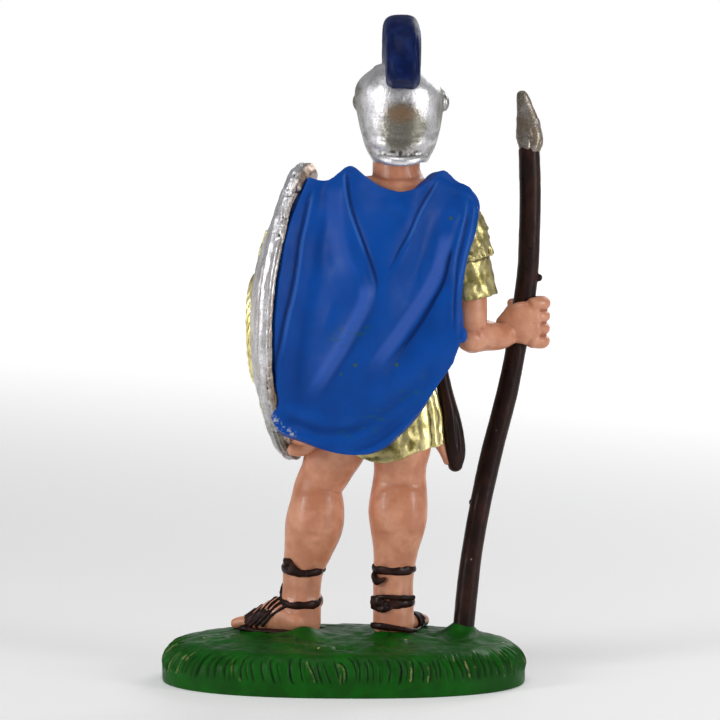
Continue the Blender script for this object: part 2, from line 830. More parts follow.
def buildSkin():
    clay = newClay()
    limb(clay, pose["rightLeg"])
    limb(clay, pose["leftLeg"])
    foot(clay, *pose["rightFoot"])
    foot(clay, *pose["leftFoot"])
    for leg, feet in ((pose["rightLeg"], pose["rightFoot"]), (pose["leftLeg"], pose["leftFoot"])):
        heel, instep = feet[0], feet[1]
        ankle = leg[-3]
        rod(
            clay,
            [
                (ankle[0], ankle[1], 4.5),
                ((heel[0] + instep[0]) / 2, (heel[1] + instep[1]) / 2, 2.2),
            ],
            2.3,
        )
        for way in (-1, 1):
            ball(clay, (ankle[0] + way * 2.7, ankle[1] - 0.6, 5.0), (0.9, 1.3, 1.2))
    limb(clay, pose["rightArm"])
    limb(clay, pose["rightForearm"], across=(0, 0, 1))
    ball(clay, (-20.0, 1.2, 48.2), (2.2, 1.9, 2.0))
    limb(clay, pose["leftArm"])
    # right hand round the spear
    limb(
        clay,
        [
            (-26.0, -6.8, 49.2, 2.4, 1.6), (-28.4, -6.5, 50.2, 3.5, 1.5),
            (-31.0, -6.9, 50.3, 3.5, 1.3),
        ],
        across=(0, 0, 1),
    )
    for finger in range(4):
        high = 53.4 - 2.05 * finger
        curl = [
            (-30.4, -6.7, high), (-32.1, -7.8, high), (-32.1, -9.8, high),
            (-31.0, -11.3, high - 0.1), (-29.0, -11.9, high - 0.2), (-27.2, -11.3, high - 0.2),
        ]
        rod(clay, curl, (1.1, 1.24, 1.2, 1.15, 1.0, 0.85))
    rod(clay, [(-27.1, -7.2, 50.8), (-26.9, -9.4, 51.6), (-27.8, -11.2, 52.8)], (1.2, 1.15, 0.95))
    # left hand under the shield's rim
    ball(clay, (6.0, 2.6, 32.4), (2.9, 2.6, 2.0))
    for finger in range(4):
        depth = 4.2 - 1.7 * finger
        rod(clay, [(4.6, depth, 32.2), (6.4, depth, 30.6), (8.4, depth, 30.6)], 0.95)
    limb(clay, pose["neck"])
    ball(clay, (-8.8, 0.4, 71.0), (6.2, 4.2, 2.5))
    limb(
        clay,
        [
            (-2.2, -1.2, 73.2, 0.9, 1.4), (-4.6, 0.0, 72.9, 1.5, 2.4), (-8.6, 0.5, 72.2, 2.3, 3.4),
            (-12.2, 0.0, 72.3, 1.7, 2.4), (-14.4, -1.0, 72.2, 1.0, 1.4),
        ],
        across=(0, 0, 1),
    )
    web = [
        (-13.9, -1.6, 33.6, 1.9, 1.5), (-15.6, -2.0, 30.6, 0.9, 1.3), (-16.6, -2.2, 28.0, 0.6, 1.0)
    ]
    limb(clay, web)
    made = fuse("soldierSkin", clay)
    shape = readShape(made)
    # calves, hollows behind the knees, tendons
    for x, z, lean in ((-8.8, 20.8, 0.0), (4.7, 20.2, 0.35)):
        for way in (-1, 1):
            press(
                shape,
                [
                    (x + way * 1.9, 3.0, z + 4), (x + way * 2.1 + lean, 3.6, z),
                    (x + way * 1.5 + lean * 2, 2.8, z - 4),
                ],
                2.2, 0.20,
            )
        press(
            shape, [(x, 3.4, z + 3.4), (x + lean, 3.9, z), (x + lean * 2, 3.0, z - 4.4)], 1.4,
            -0.09,
        )
        press(
            shape, [(x - 3.0, 1.6, z + 5.4), (x, 3.0, z + 5.0), (x + 3.0, 1.6, z + 5.6)], 1.2,
            -0.18,
        )
    for ankle in ((-8.1, 1.4, 8.0), (7.0, 0.6, 7.6)):
        for way in (-1, 1):
            press(
                shape,
                [
                    (ankle[0] + way * 1.9, ankle[1], ankle[2] + 4),
                    (ankle[0] + way * 2.0, ankle[1], ankle[2] - 2.4),
                ],
                0.8, -0.32,
            )
    for finger in range(3):
        high = 52.4 - 2.05 * finger
        press(
            shape,
            [(-29.6, -5.2, high), (-31.6, -5.9, high), (-33.0, -8.0, high), (-32.4, -11.0, high)],
            0.34, -0.14,
        )
    press(shape, [(-22.6, 1.4, 50.6), (-21.2, 2.2, 49.4), (-20.6, 2.6, 46.6)], 0.6, -0.15)
    shape = roughen(made, shape, lumps(shape["points"], 2.6, 3) * 0.05)
    z = shape["points"][:, 2]
    setMask(made, "hollow", np.clip(hollowness(shape, 26, 0.22) + 0.38 * ease((z - 71) / 3), -1, 1))
    setMask(made, "grass", 1 - ease((z + 0.6) / 1.8))
    return settle(made, shape["points"], paints["flesh"])


buildSkin()


def turned(centre, degrees, point):
    # a point of the head, turned about its upright axis
    a = math.radians(degrees)
    return (
        centre[0] + point[0] * math.cos(a) - point[1] * math.sin(a),
        centre[1] + point[0] * math.sin(a) + point[1] * math.cos(a), centre[2] + point[2],
    )


face = {"eyeLevel": -0.2, "eyeApart": 2.25, "noseTip": -2.6, "mouth": -4.5, "chin": -7.0}


def buildHead():
    centre, turn = pose["head"], pose["headTurn"]

    def at(x, y, z):
        return turned(centre, turn, (x, y, z))

    clay = newClay()
    ball(clay, at(0, 0, 0), (5.9, 6.6, 7.4), (0, 0, turn))
    ball(clay, at(0, -1.7, -4.0), (4.3, 4.8, 4.4), (0, 0, turn))
    limb(
        clay,
        [
            (*at(0, -5.9, 1.4), 0.6, 0.6), (*at(0, -6.7, -0.6), 0.7, 0.8),
            (*at(0, -7.3, -2.2), 0.95, 0.85),
        ],
        across=(1, 0, 0), steps=4,
    )
    ball(clay, at(0, -6.9, face["noseTip"]), (0.85, 0.8, 0.7))
    for way in (-1, 1):
        ball(clay, at(way * 0.85, -6.2, face["noseTip"] - 0.1), (0.65, 0.8, 0.55))
        limb(
            clay,
            [
                (*at(way * 0.7, -6.15, 1.35), 0.55, 0.5), (*at(way * 2.3, -5.9, 1.6), 0.6, 0.55),
                (*at(way * 3.9, -4.7, 1.1), 0.5, 0.5),
            ],
            across=(0, 0, 1),
        )
        ball(clay, at(way * face["eyeApart"], -5.15, face["eyeLevel"]), (1.25, 0.95, 0.85))
        ball(clay, at(way * 3.0, -4.1, -2.0), (2.0, 1.6, 2.0))
    limb(
        clay,
        [
            (*at(-1.55, -5.6, face["mouth"] + 0.25), 0.28, 0.4),
            (*at(0, -6.35, face["mouth"] + 0.42), 0.42, 0.5),
            (*at(1.55, -5.6, face["mouth"] + 0.25), 0.28, 0.4),
        ],
        across=(0, 0, 1),
    )
    limb(
        clay,
        [
            (*at(-1.4, -5.6, face["mouth"] - 0.25), 0.28, 0.4),
            (*at(0, -6.25, face["mouth"] - 0.5), 0.5, 0.5),
            (*at(1.4, -5.6, face["mouth"] - 0.25), 0.28, 0.4),
        ],
        across=(0, 0, 1),
    )
    ball(clay, at(0, -5.3, face["chin"]), (1.8, 1.3, 1.2))
    made = fuse("soldierHead", clay, soften=5)
    shape = readShape(made)
    press(
        shape,
        [
            at(-1.7, -5.9, face["mouth"]), at(0, -6.9, face["mouth"] - 0.02),
            at(1.7, -5.9, face["mouth"]),
        ],
        0.16, -0.30,
    )
    for way in (-1, 1):
        lid = [
            at(way * 1.1, -6.1, face["eyeLevel"] + 0.1),
            at(way * 2.2, -6.3, face["eyeLevel"] + 0.62),
            at(way * 3.4, -5.5, face["eyeLevel"] + 0.15),
        ]
        press(shape, lid, 0.16, 0.16)
        press(
            shape,
            [
                at(way * 1.1, -6.1, face["eyeLevel"] + 0.35),
                at(way * 2.2, -6.3, face["eyeLevel"] + 0.95),
                at(way * 3.4, -5.5, face["eyeLevel"] + 0.5),
            ],
            0.2, -0.14,
        )
        press(
            shape,
            [
                at(way * 1.2, -6.1, face["eyeLevel"] - 0.4),
                at(way * 2.2, -6.2, face["eyeLevel"] - 0.66),
                at(way * 3.3, -5.5, face["eyeLevel"] - 0.3),
            ],
            0.18, 0.08,
        )
        press(
            shape,
            [at(way * 1.3, -6.6, face["noseTip"] + 0.2), at(way * 2.2, -6.0, face["mouth"] + 0.6)],
            0.3, -0.10,
        )
    writeShape(made, shape["points"])
    shape = readShape(made)
    points = shape["points"]
    setMask(made, "hollow", hollowness(shape, 20, 0.16))
    masks = {name: np.zeros(len(points)) for name in facePaint}
    for way in (-1, 1):
        paintLine(
            points, masks["brow"],
            [at(way * 0.9, -6.7, 1.75), at(way * 2.3, -6.5, 2.15), at(way * 3.9, -5.2, 1.6)], 0.30,
        )
        paintLine(
            points, masks["eyeWhite"],
            [at(way * 1.45, -6.1, face["eyeLevel"]), at(way * 3.0, -5.8, face["eyeLevel"])], 0.42,
        )
        paintLine(
            points, masks["brow"],
            [
                at(way * 1.2, -6.2, face["eyeLevel"] + 0.18),
                at(way * 2.2, -6.3, face["eyeLevel"] + 0.52),
                at(way * 3.3, -5.6, face["eyeLevel"] + 0.22),
            ],
            0.13,
        )
        spot = np.linalg.norm(
            points - np.array(at(way * face["eyeApart"], -6.05, face["eyeLevel"] + 0.02)), axis=1
        )
        masks["iris"] = np.maximum(masks["iris"], ease((0.46 - spot) / 0.12 + 0.5))
        cheek = np.linalg.norm(points - np.array(at(way * 3.4, -5.4, -2.4)), axis=1)
        masks["blush"] = np.maximum(masks["blush"], ease(1 - cheek / 2.8))
    away = points - np.array(centre)
    a = math.radians(turn)
    across, ahead = (
        away[:, 0] * math.cos(a) + away[:, 1] * math.sin(a),
        away[:, 1] * math.cos(a) - away[:, 0] * math.sin(a),
    )
    tall = (
        np.where(away[:, 2] > face["mouth"], 0.50 - 0.10 * np.exp(-((across / 0.3) ** 2)), 0.62)
        * (1 - (across / 1.75) ** 2)
    )
    masks["lips"] = (
        ease((tall - np.abs(away[:, 2] - face["mouth"])) / 0.16 + 0.3)
        * (ahead < -4)
        * (np.abs(across) < 1.75)
    )
    for name, values in masks.items():
        setMask(made, name, values)
    return settle(made, points, paints["face"])


buildHead()

helmet = {
    "bowl": [
        (-8.65, 0.9, 76.5, 4.3, 5.6), (-8.6, 0.3, 78.6, 5.45, 6.6), (-8.6, -0.4, 81.0, 6.2, 7.2),
        (-8.6, -0.9, 83.3, 6.7, 7.6),
        (-8.5, -1.3, 86.0, 7.1, 8.0), (-8.35, -1.3, 88.2, 6.95, 7.85), (-8.2, -1.3, 90.0, 5.8, 6.8),
        (-8.2, -1.3, 91.5, 3.9, 4.9),
    ],
    "rosette": 1.5,
}


def bowlPoint(angle, z, proud=0.0):
    # a point of the bowl, angle is taken from its back
    rows = smoothRows(helmet["bowl"], 8)
    x, y, rx, ry = (np.interp(z, rows[:, 2], rows[:, k]) for k in (0, 1, 3, 4))
    return (x + (rx + proud) * math.sin(angle), y + (ry + proud) * math.cos(angle), z)


def cutAway(made, cutter):
    cut = made.modifiers.new("opening", "BOOLEAN")
    cut.object = cutter
    cut.operation = "DIFFERENCE"
    applyModifiers(made)
    bpy.data.objects.remove(cutter)


def clayOf(made):
    shape = readShape(made)
    clay = newClay()
    addMesh(clay, shape["points"], [tuple(face.vertices) for face in made.data.polygons])
    bpy.data.objects.remove(made)
    return clay


def buildHelmet():
    centre, turn = pose["head"], pose["headTurn"]

    def at(x, y, z):
        return turned(centre, turn, (x, y, z))

    bowl = newClay()
    turns = fullTurn(64)
    addRings(
        bowl,
        [
            np.stack([x + rx * np.cos(turns), y + ry * np.sin(turns), np.full(64, z)], 1)
            for x, y, z, rx, ry in smoothRows(helmet["bowl"], 8)
        ],
    )
    ball(bowl, helmet["bowl"][-1][:3], (3.9, 4.9, 0.9))
    bowlShape = meshObject("bowl", np.vstack(bowl["points"]), bowl["faces"])
    hole = newClay()
    c, s = np.cos(turns), np.sin(turns)
    addRings(
        hole,
        [
            [
                at(4.7 * u, y, 6.3 * w - 4.4)
                for u, w in zip(np.sign(c) * np.abs(c) ** 0.45, np.sign(s) * np.abs(s) ** 0.45)
            ]
            for y in (-14, -9, -3.6)
        ],
    )
    cutAway(bowlShape, meshObject("hole", np.vstack(hole["points"]), hole["faces"]))
    clay = clayOf(bowlShape)
    brow = [
        at(6.5 * math.sin(a), 0.6 - 7.8 * math.cos(a), 2.4 - 0.9 * math.cos(a) ** 2)
        for a in np.linspace(-1.5, 1.5, 9)
    ]
    rod(clay, brow, 0.8)
    peak = [
        at(3.6 * math.sin(a), 0.4 - 7.9 * math.cos(a), 5.0 - 2.2 * abs(math.sin(a)))
        for a in np.linspace(-1.2, 1.2, 7)
    ]
    rod(clay, peak, 0.45)
    guard = [
        bowlPoint(a, 76.7 + 2.0 * (1 - math.cos(a)), 0.05 - 0.55 * (1 - math.cos(a)))
        for a in np.linspace(-1.3, 1.3, 9)
    ]
    rod(clay, guard, (0.35, 0.55, 0.66, 0.72, 0.72, 0.72, 0.66, 0.55, 0.35))
    for way in (-1, 1):
        ball(clay, (-8.75 + way * 6.9, -1.6, 86.1), (0.9, helmet["rosette"], helmet["rosette"]))
        limb(
            clay,
            [
                (*at(way * 5.3, -3.0, 0.5), 0.8, 2.4), (*at(way * 4.6, -4.0, -4.2), 0.8, 2.2),
                (*at(way * 3.0, -4.8, -7.8), 0.7, 1.3),
            ],
        )
    # ridge that the crest stands on
    limb(
        clay,
        [(-8.8, 5.6, 88.0, 1.2, 0.7), (-8.8, 6.3, 86.8, 0.55, 0.45), (-8.9, 6.45, 86.0, 0.3, 0.3)],
    )
    made = fuse("soldierHelmet", clay)
    shape = readShape(made)
    for z, width, height in ((78.0, 0.45, -0.11), (79.2, 0.5, 0.10), (80.2, 0.4, -0.08)):
        press(
            shape, [bowlPoint(a, z + 2.0 * (1 - math.cos(a))) for a in np.linspace(-1.4, 1.4, 11)],
            width, height, (0.1, 0.1),
        )
    for way in (-1, 1):
        edge = [
            at(way * 4.4, -5.4, 1.4), at(way * 4.0, -5.6, -2.0), at(way * 3.5, -5.4, -5.0),
            at(way * 2.4, -5.3, -8.0),
        ]
        press(shape, edge, 0.35, 0.22, (0.1, 0.1))
        for k in range(8):
            a = 2 * math.pi * k / 8
            press(
                shape,
                [
                    (-8.85 + way * 7.9, -1.6 + 0.7 * math.cos(a), 86.2 + 0.7 * math.sin(a)),
                    (-8.85 + way * 7.4, -1.6 + 1.4 * math.cos(a), 86.2 + 1.4 * math.sin(a)),
                ],
                0.2, -0.12,
            )
    shape = roughen(
        made, shape, lumps(shape["points"], 1.5, 5) * 0.045 + lumps(shape["points"], 3.5, 6) * 0.09
    )
    points = shape["points"]
    x, y, z = points.T
    band = (
        np.exp(-(((z - 78.1) / 0.7) ** 2))
        * ease((4.6 - np.abs(x + 8.7)) / 3)
        * ease(y / 3)
        * np.clip(0.45 + 0.7 * lumps(points, 0.45, 7), 0, 1)
    )
    under = ease((1.5 - y) / 2) * ease((79 - z) / 1.5)
    setMask(made, "hollow", np.clip(hollowness(shape, 14, 0.16) + 0.8 * band, -1, 1))
    back = np.linalg.norm(
        (points - np.array((-9.0, 6.8, 82.0))) / np.array((4.6, 6.0, 4.6)), axis=1
    )
    setMask(
        made, "dull",
        1.15 * ease((1.15 - back) / 0.6)
        + 0.4 * under
        + 0.75 * ease((np.abs(shape["normals"][:, 0]) - 0.80) / 0.15) * ease((y + 6) / 3)
        + 0.7 * np.exp(-(((y + 1.3) / 1.7) ** 2)) * ease((z - 80) / 3),
    )
    spot = np.linalg.norm((points - np.array((-8.6, 7.0, 84.3))) / np.array((2.5, 4, 1.7)), axis=1)
    setMask(made, "warm", 0.9 * ease(1.3 - spot))
    return settle(made, points, paints["silver"])


buildHelmet()

crest = {
    "width": 6.1, "height": 7.0, "from": -52, "to": 69, "drift": -0.30,
    "middle": (-8.65, -1.3, 85.2),
}


def crestShift(degrees):
    # sideways drift of the comb towards its tail
    return crest["drift"] * float(ease(degrees / 40))


def crestTaper(degrees):
    return 1 - 0.22 * max(0.0, abs(degrees - 5) / 60) ** 3


def crestNarrow(degrees):
    return 1 - 0.10 * float(ease((degrees - 20) / 45))


def buildCrest():
    x, y, z = crest["middle"]
    inner = 100 - crest["height"] - z - 1.5
    outer = inner + crest["height"] + 1.5
    half = crest["width"] / 2
    clay = newClay()
    rings = []
    for degrees in np.linspace(crest["from"], crest["to"], 40):
        angle = math.radians(degrees)
        top = inner + (outer - inner) * crestTaper(degrees)
        out = np.array([0, math.sin(angle), math.cos(angle)])
        turns = fullTurn(40)
        c, s = np.cos(turns), np.sin(turns)
        narrow = crestNarrow(degrees) * (1 - 0.38 * max(0.0, (degrees - 61) / 8) ** 2)
        wide = half * narrow * np.sign(c) * np.abs(c) ** 0.6
        high = (inner + top) / 2 + (top - inner) / 2 * np.sign(s) * np.abs(s) ** 0.6
        rings.append(
            np.array([x + crestShift(degrees), y, z])
            + np.outer(wide, (1, 0, 0))
            + np.outer(high, out)
        )
    addRings(clay, rings)
    made = fuse("helmetCrest", clay, soften=4)
    shape = readShape(made)
    # a raised lip round the brush's face, and hair lines on its sides
    for inset, height in ((0.62, -0.16), (0.30, 0.10)):
        for way in (-1, 1):
            line = []
            for degrees in np.linspace(0, crest["to"] - 3, 14):
                angle = math.radians(degrees)
                reach = outer * crestTaper(degrees) - 0.1
                side = x + crestShift(degrees) + way * (half * crestNarrow(degrees) - inset)
                line.append((side, y + math.sin(angle) * reach, z + math.cos(angle) * reach))
            press(shape, line, 0.26, height, (0.05, 0.05), steps=3)
    for degrees in np.arange(crest["from"] + 3, crest["to"] - 2, 2.6):
        angle = math.radians(degrees)
        for way in (-1, 1):
            side = x + crestShift(degrees) + way * half
            line = [
                (side, y + math.sin(angle) * r, z + math.cos(angle) * r)
                for r in (inner + 1.2, (inner + outer) / 2, outer - 0.9)
            ]
            press(shape, line, 0.22, -0.16, (0.1, 0.2), steps=3)
    shape = roughen(made, shape, lumps(shape["points"], 1.2, 8) * 0.05)
    setMask(made, "hollow", hollowness(shape, 14, 0.14))
    return settle(made, shape["points"], paints["crest"])


buildCrest()

shield = {
    "height": 48.2,
    "width": 27.0,
    "thickness": 1.8,
    "bulge": 5.2,
    "bend": 1.7,  # how far the ends curl in
    "slope": 0.9,  # how much flatter the upper half is
    "middle": (8.2, -2.6, 52.3),
    "yaw": 13.0,
    "lean": 1.7,
    "rimWidth": 1.7,
    "rimHeight": 0.4,
    "nicks": 90,
    "bossUp": -0.13,  # middle of the boss, as a share of half the height
    "wreath": (0.345, 0.47),
    "wreathRadius": 1.0,
    "leaves": 30,
    "leafHeight": 1.0,
    "armLoop": [
        (8.6, 1.4, 56.5), (6.2, 1.8, 54.5), (5.4, 1.6, 52.0), (6.4, 1.4, 49.5), (9.4, 1.2, 47.6)
    ],
    "armLoopRadius": 0.7,
}


def shieldAxes():
    yaw, lean = math.radians(shield["yaw"]), math.radians(shield["lean"])
    normal = np.array([math.cos(yaw) * math.cos(lean), -math.sin(yaw), math.sin(lean)])
    normal /= np.linalg.norm(normal)
    tall = np.array([-math.sin(lean), 0, math.cos(lean)])
    return normal, tall, -np.cross(normal, tall)


def shieldBend(up):
    return shield["bend"] * np.abs(up) ** 3 + shield["slope"] * np.exp(-(((up - 0.62) / 0.38) ** 2))


def shieldPoint(up, back, lift):
    normal, tall, wide = shieldAxes()
    up, back = np.asarray(up, float), np.asarray(back, float)
    lift = np.asarray(lift, float) - shieldBend(up)
    place = np.array(shield["middle"], float)
    return (
        place
        + np.multiply.outer(up * shield["height"] / 2, tall)
        + np.multiply.outer(back * shield["width"] / 2, wide)
        + np.multiply.outer(lift, normal)
    )


def shieldDome(up, back):
    return shield["bulge"] * np.maximum(0, 1 - np.asarray(up) ** 2 - np.asarray(back) ** 2)


def onFace(up, back, lift=0.0):
    return shieldPoint(up, back, shieldDome(up, back) + shield["thickness"] + lift)


def shieldStroke(clay, places, radius, raiseBy):
    line = [onFace(up, back, raiseBy) for up, back in places]
    rod(clay, line, radius, steps=3)


def buildShield():
    clay = newClay()
    rings = []
    turns = fullTurn(120)
    faceShares = np.concatenate([[0.01], np.linspace(0.06, 1, 24)])
    for lift, shares in ((shield["thickness"], faceShares), (0.0, faceShares[::-1])):
        for share in shares:
            up, back = share * np.sin(turns), share * np.cos(turns)
            rings.append(shieldPoint(up, back, shieldDome(up, back) + lift))
    addRings(clay, rings)
    inset = 1 - shield["rimWidth"] / shield["width"]
    loop = [(inset * math.sin(t), inset * math.cos(t)) for t in np.linspace(0, 2 * math.pi, 61)]
    shieldStroke(clay, loop, shield["rimWidth"] / 2, shield["rimHeight"] - shield["rimWidth"] / 2)
    lip = [
        shieldPoint(inset * math.sin(t), inset * math.cos(t), shield["thickness"] / 2 - 0.5)
        for t in np.radians((62, 76, 90, 104))
    ]
    rod(clay, lip, (0.8, 1.15, 1.25, 1.0))
    rod(clay, shield["armLoop"], shield["armLoopRadius"])
    made = fuse("shieldPlate", clay)
    shape = readShape(made)
    for share, height in ((0.86, -0.22), (0.80, 0.12)):
        loop = [
            onFace(share * math.sin(t), share * math.cos(t))
            for t in np.linspace(0, 2 * math.pi, 61)
        ]
        press(shape, loop, 0.35, height, (0.001, 0.001), steps=2)
    for lift in (0.1, 0.7, 1.25):
        loop = [
            shieldPoint(math.sin(t), math.cos(t), lift) for t in np.linspace(0, 2 * math.pi, 61)
        ]
        press(shape, loop, 0.22, -0.17, (0.001, 0.001), steps=2)
    rng = np.random.RandomState(6)
    for k in range(shield["nicks"]):
        t = math.radians(rng.uniform(-70, 88))
        out, lean = rng.uniform(0.90, 1.0), rng.uniform(-0.06, 0.06)
        nick = [
            shieldPoint(
                out * math.sin(t + d), out * math.cos(t + d),
                shieldDome(out * math.sin(t), out * math.cos(t))
                + shield["thickness"] * rng.uniform(0.2, 1.0),
            )
            for d in (-0.02, 0, 0.02 + lean)
        ]
        press(shape, nick, 0.26, rng.choice((-0.26, 0.20)), (0.2, 0.2), steps=2)
    # hammered and scratched surface, strongest near the rim
    grooves = lumps(shape["points"] * (1, 1, 0.28), 0.85, 11)
    shape = roughen(
        made, shape, lumps(shape["points"], 1.1, 9) * 0.07 + np.minimum(grooves, 0.1) * 0.18
    )
    points = shape["points"]
    setMask(made, "hollow", hollowness(shape, 12, 0.24))
    normal, tall, wide = shieldAxes()
    away = points - np.array(shield["middle"])
    up, back = away @ tall * 2 / shield["height"], away @ wide * 2 / shield["width"]
    lift = away @ normal + shieldBend(up) - shieldDome(up, back)
    edge = ease((1.1 - lift) / 0.7) * ease((np.hypot(up, back) - 0.88) / 0.06)
    setMask(
        made, "dull",
        0.10 * ease((60 - points[:, 2]) / 12) + 0.35 * ease((44 - points[:, 2]) / 10) + 0.45 * edge,
    )
    streaks = (
        ease((lumps(points * (1, 1, 0.10), 0.75, 15) + 0.15) / 0.5)
        * ease((63 - points[:, 2]) / 6)
        * ease((points[:, 2] - 33) / 8)
    )
    setMask(
        made, "warm",
        np.clip(
            0.85 * ease((-shape["normals"][:, 0] - 0.3) / 0.4) + 0.45 * streaks + 0.25 * edge, 0, 1
        ),
    )
    return settle(made, points, paints["silver"])


def buildEmblem():
    clay = newClay()
    low = shield["bossUp"]
    ball(clay, onFace(low, 0, -1.35), (2.0, 5.6, 8.0), (0, 0, -shield["yaw"]))
    ball(clay, onFace(low, 0, -0.3), (1.3, 2.4, 2.4), (0, 0, -shield["yaw"]))
    tall, wide = shield["wreath"]
    ring = [
        onFace(low + tall * math.sin(t), wide * math.cos(t), -0.35)
        for t in np.linspace(0, 2 * math.pi, 49)
    ]
    rod(clay, ring, shield["wreathRadius"], steps=2)
    width = shield["leafHeight"]
    for way, reach, fat in ((1, 0.02, 1.15), (-1, -0.04, 0.75)):
        start = low + way * (tall + 0.09)
        shieldStroke(
            clay, [(start, 0.0), (start + way * 0.12, 0.0), (start + way * 0.25 + reach, 0.0)],
            [width * fat * 0.6, width * fat, width * fat * 0.5], -width * 0.35,
        )
        for side in (-1, 1):
            fork = [
                (start, 0.05 * side), (start + way * 0.08, 0.24 * side),
                (start + way * 0.14, 0.17 * side), (start + way * 0.22, 0.32 * side),
            ]
            shieldStroke(clay, fork, width * 0.6, -width * 0.25)
    made = fuse("shieldEmblem", clay, soften=1)
    shape = readShape(made)
    for leaf in range(shield["leaves"]):
        turn = 2 * math.pi * leaf / shield["leaves"]
        ahead = turn + 1.7 * 2 * math.pi / shield["leaves"]
        middle = (turn + ahead) / 2
        for inner, outer in ((0.99, 0.82), (1.01, 1.20)):
            line = [
                onFace(low + tall * share * math.sin(a), wide * share * math.cos(a), lift)
                for share, a, lift in (
                    (inner, turn, 0.9), ((inner + outer) / 2, middle, 0.75), (outer, ahead, 0.3)
                )
            ]
            press(shape, line, 0.24, -0.30, (0.1, 0.1))
    shape = roughen(made, shape, lumps(shape["points"], 1.0, 14) * 0.05)
    setMask(made, "hollow", hollowness(shape, 12, 0.16))
    return settle(made, shape["points"], paints["gold"])


buildShield()
buildEmblem()

tunic = {
    "body": [
        (-4.6, -1.3, 37.0, 9.5, 6.8), (-5.2, -1.6, 43.0, 8.3, 6.1), (-5.9, -1.8, 47.5, 8.2, 5.9),
        (-7.0, -1.8, 54.0, 9.0, 6.3),
        (-8.0, -1.8, 61.0, 9.9, 6.7), (-8.7, -1.8, 65.5, 10.0, 5.8), (-9.0, -1.6, 68.5, 9.0, 4.4),
        (-9.1, -1.6, 69.6, 6.6, 3.4),
    ],
    "skirt": [
        (-4.9, -1.6, 44.5, 8.8, 6.2), (-4.7, -1.7, 40.0, 9.8, 6.7), (-4.5, -1.7, 35.5, 10.9, 7.2),
        (-4.4, -1.7, 31.0, 11.5, 7.8),
    ],
    "strips": 22,
    "dip": 2.3,  # how far its back hangs lower
    "folds": 7,  # under the cloak's hem
    "creases": 80,  # on the sleeves
    "cuirassLines": [
        [(-8.6, -8.4, 68.0), (-8.2, -8.9, 62.0), (-7.2, -8.7, 54.0), (-6.4, -8.4, 48.0)],
        [
            (-13.4, -6.5, 60.6), (-10.6, -8.6, 60.4), (-8.2, -8.9, 61.6), (-5.6, -8.6, 60.4),
            (-2.6, -6.4, 60.6),
        ],
        [(-12.4, -7.0, 54.0), (-7.2, -8.8, 53.6), (-2.2, -6.9, 54.0)],
    ],
    # top, bottom, reach, flare
    "sleeveTiers": ((70.0, 64.9, 2.4, 1.7), (68.0, 60.8, 3.2, 1.7), (64.0, 54.4, 3.7, 1.5)),
}


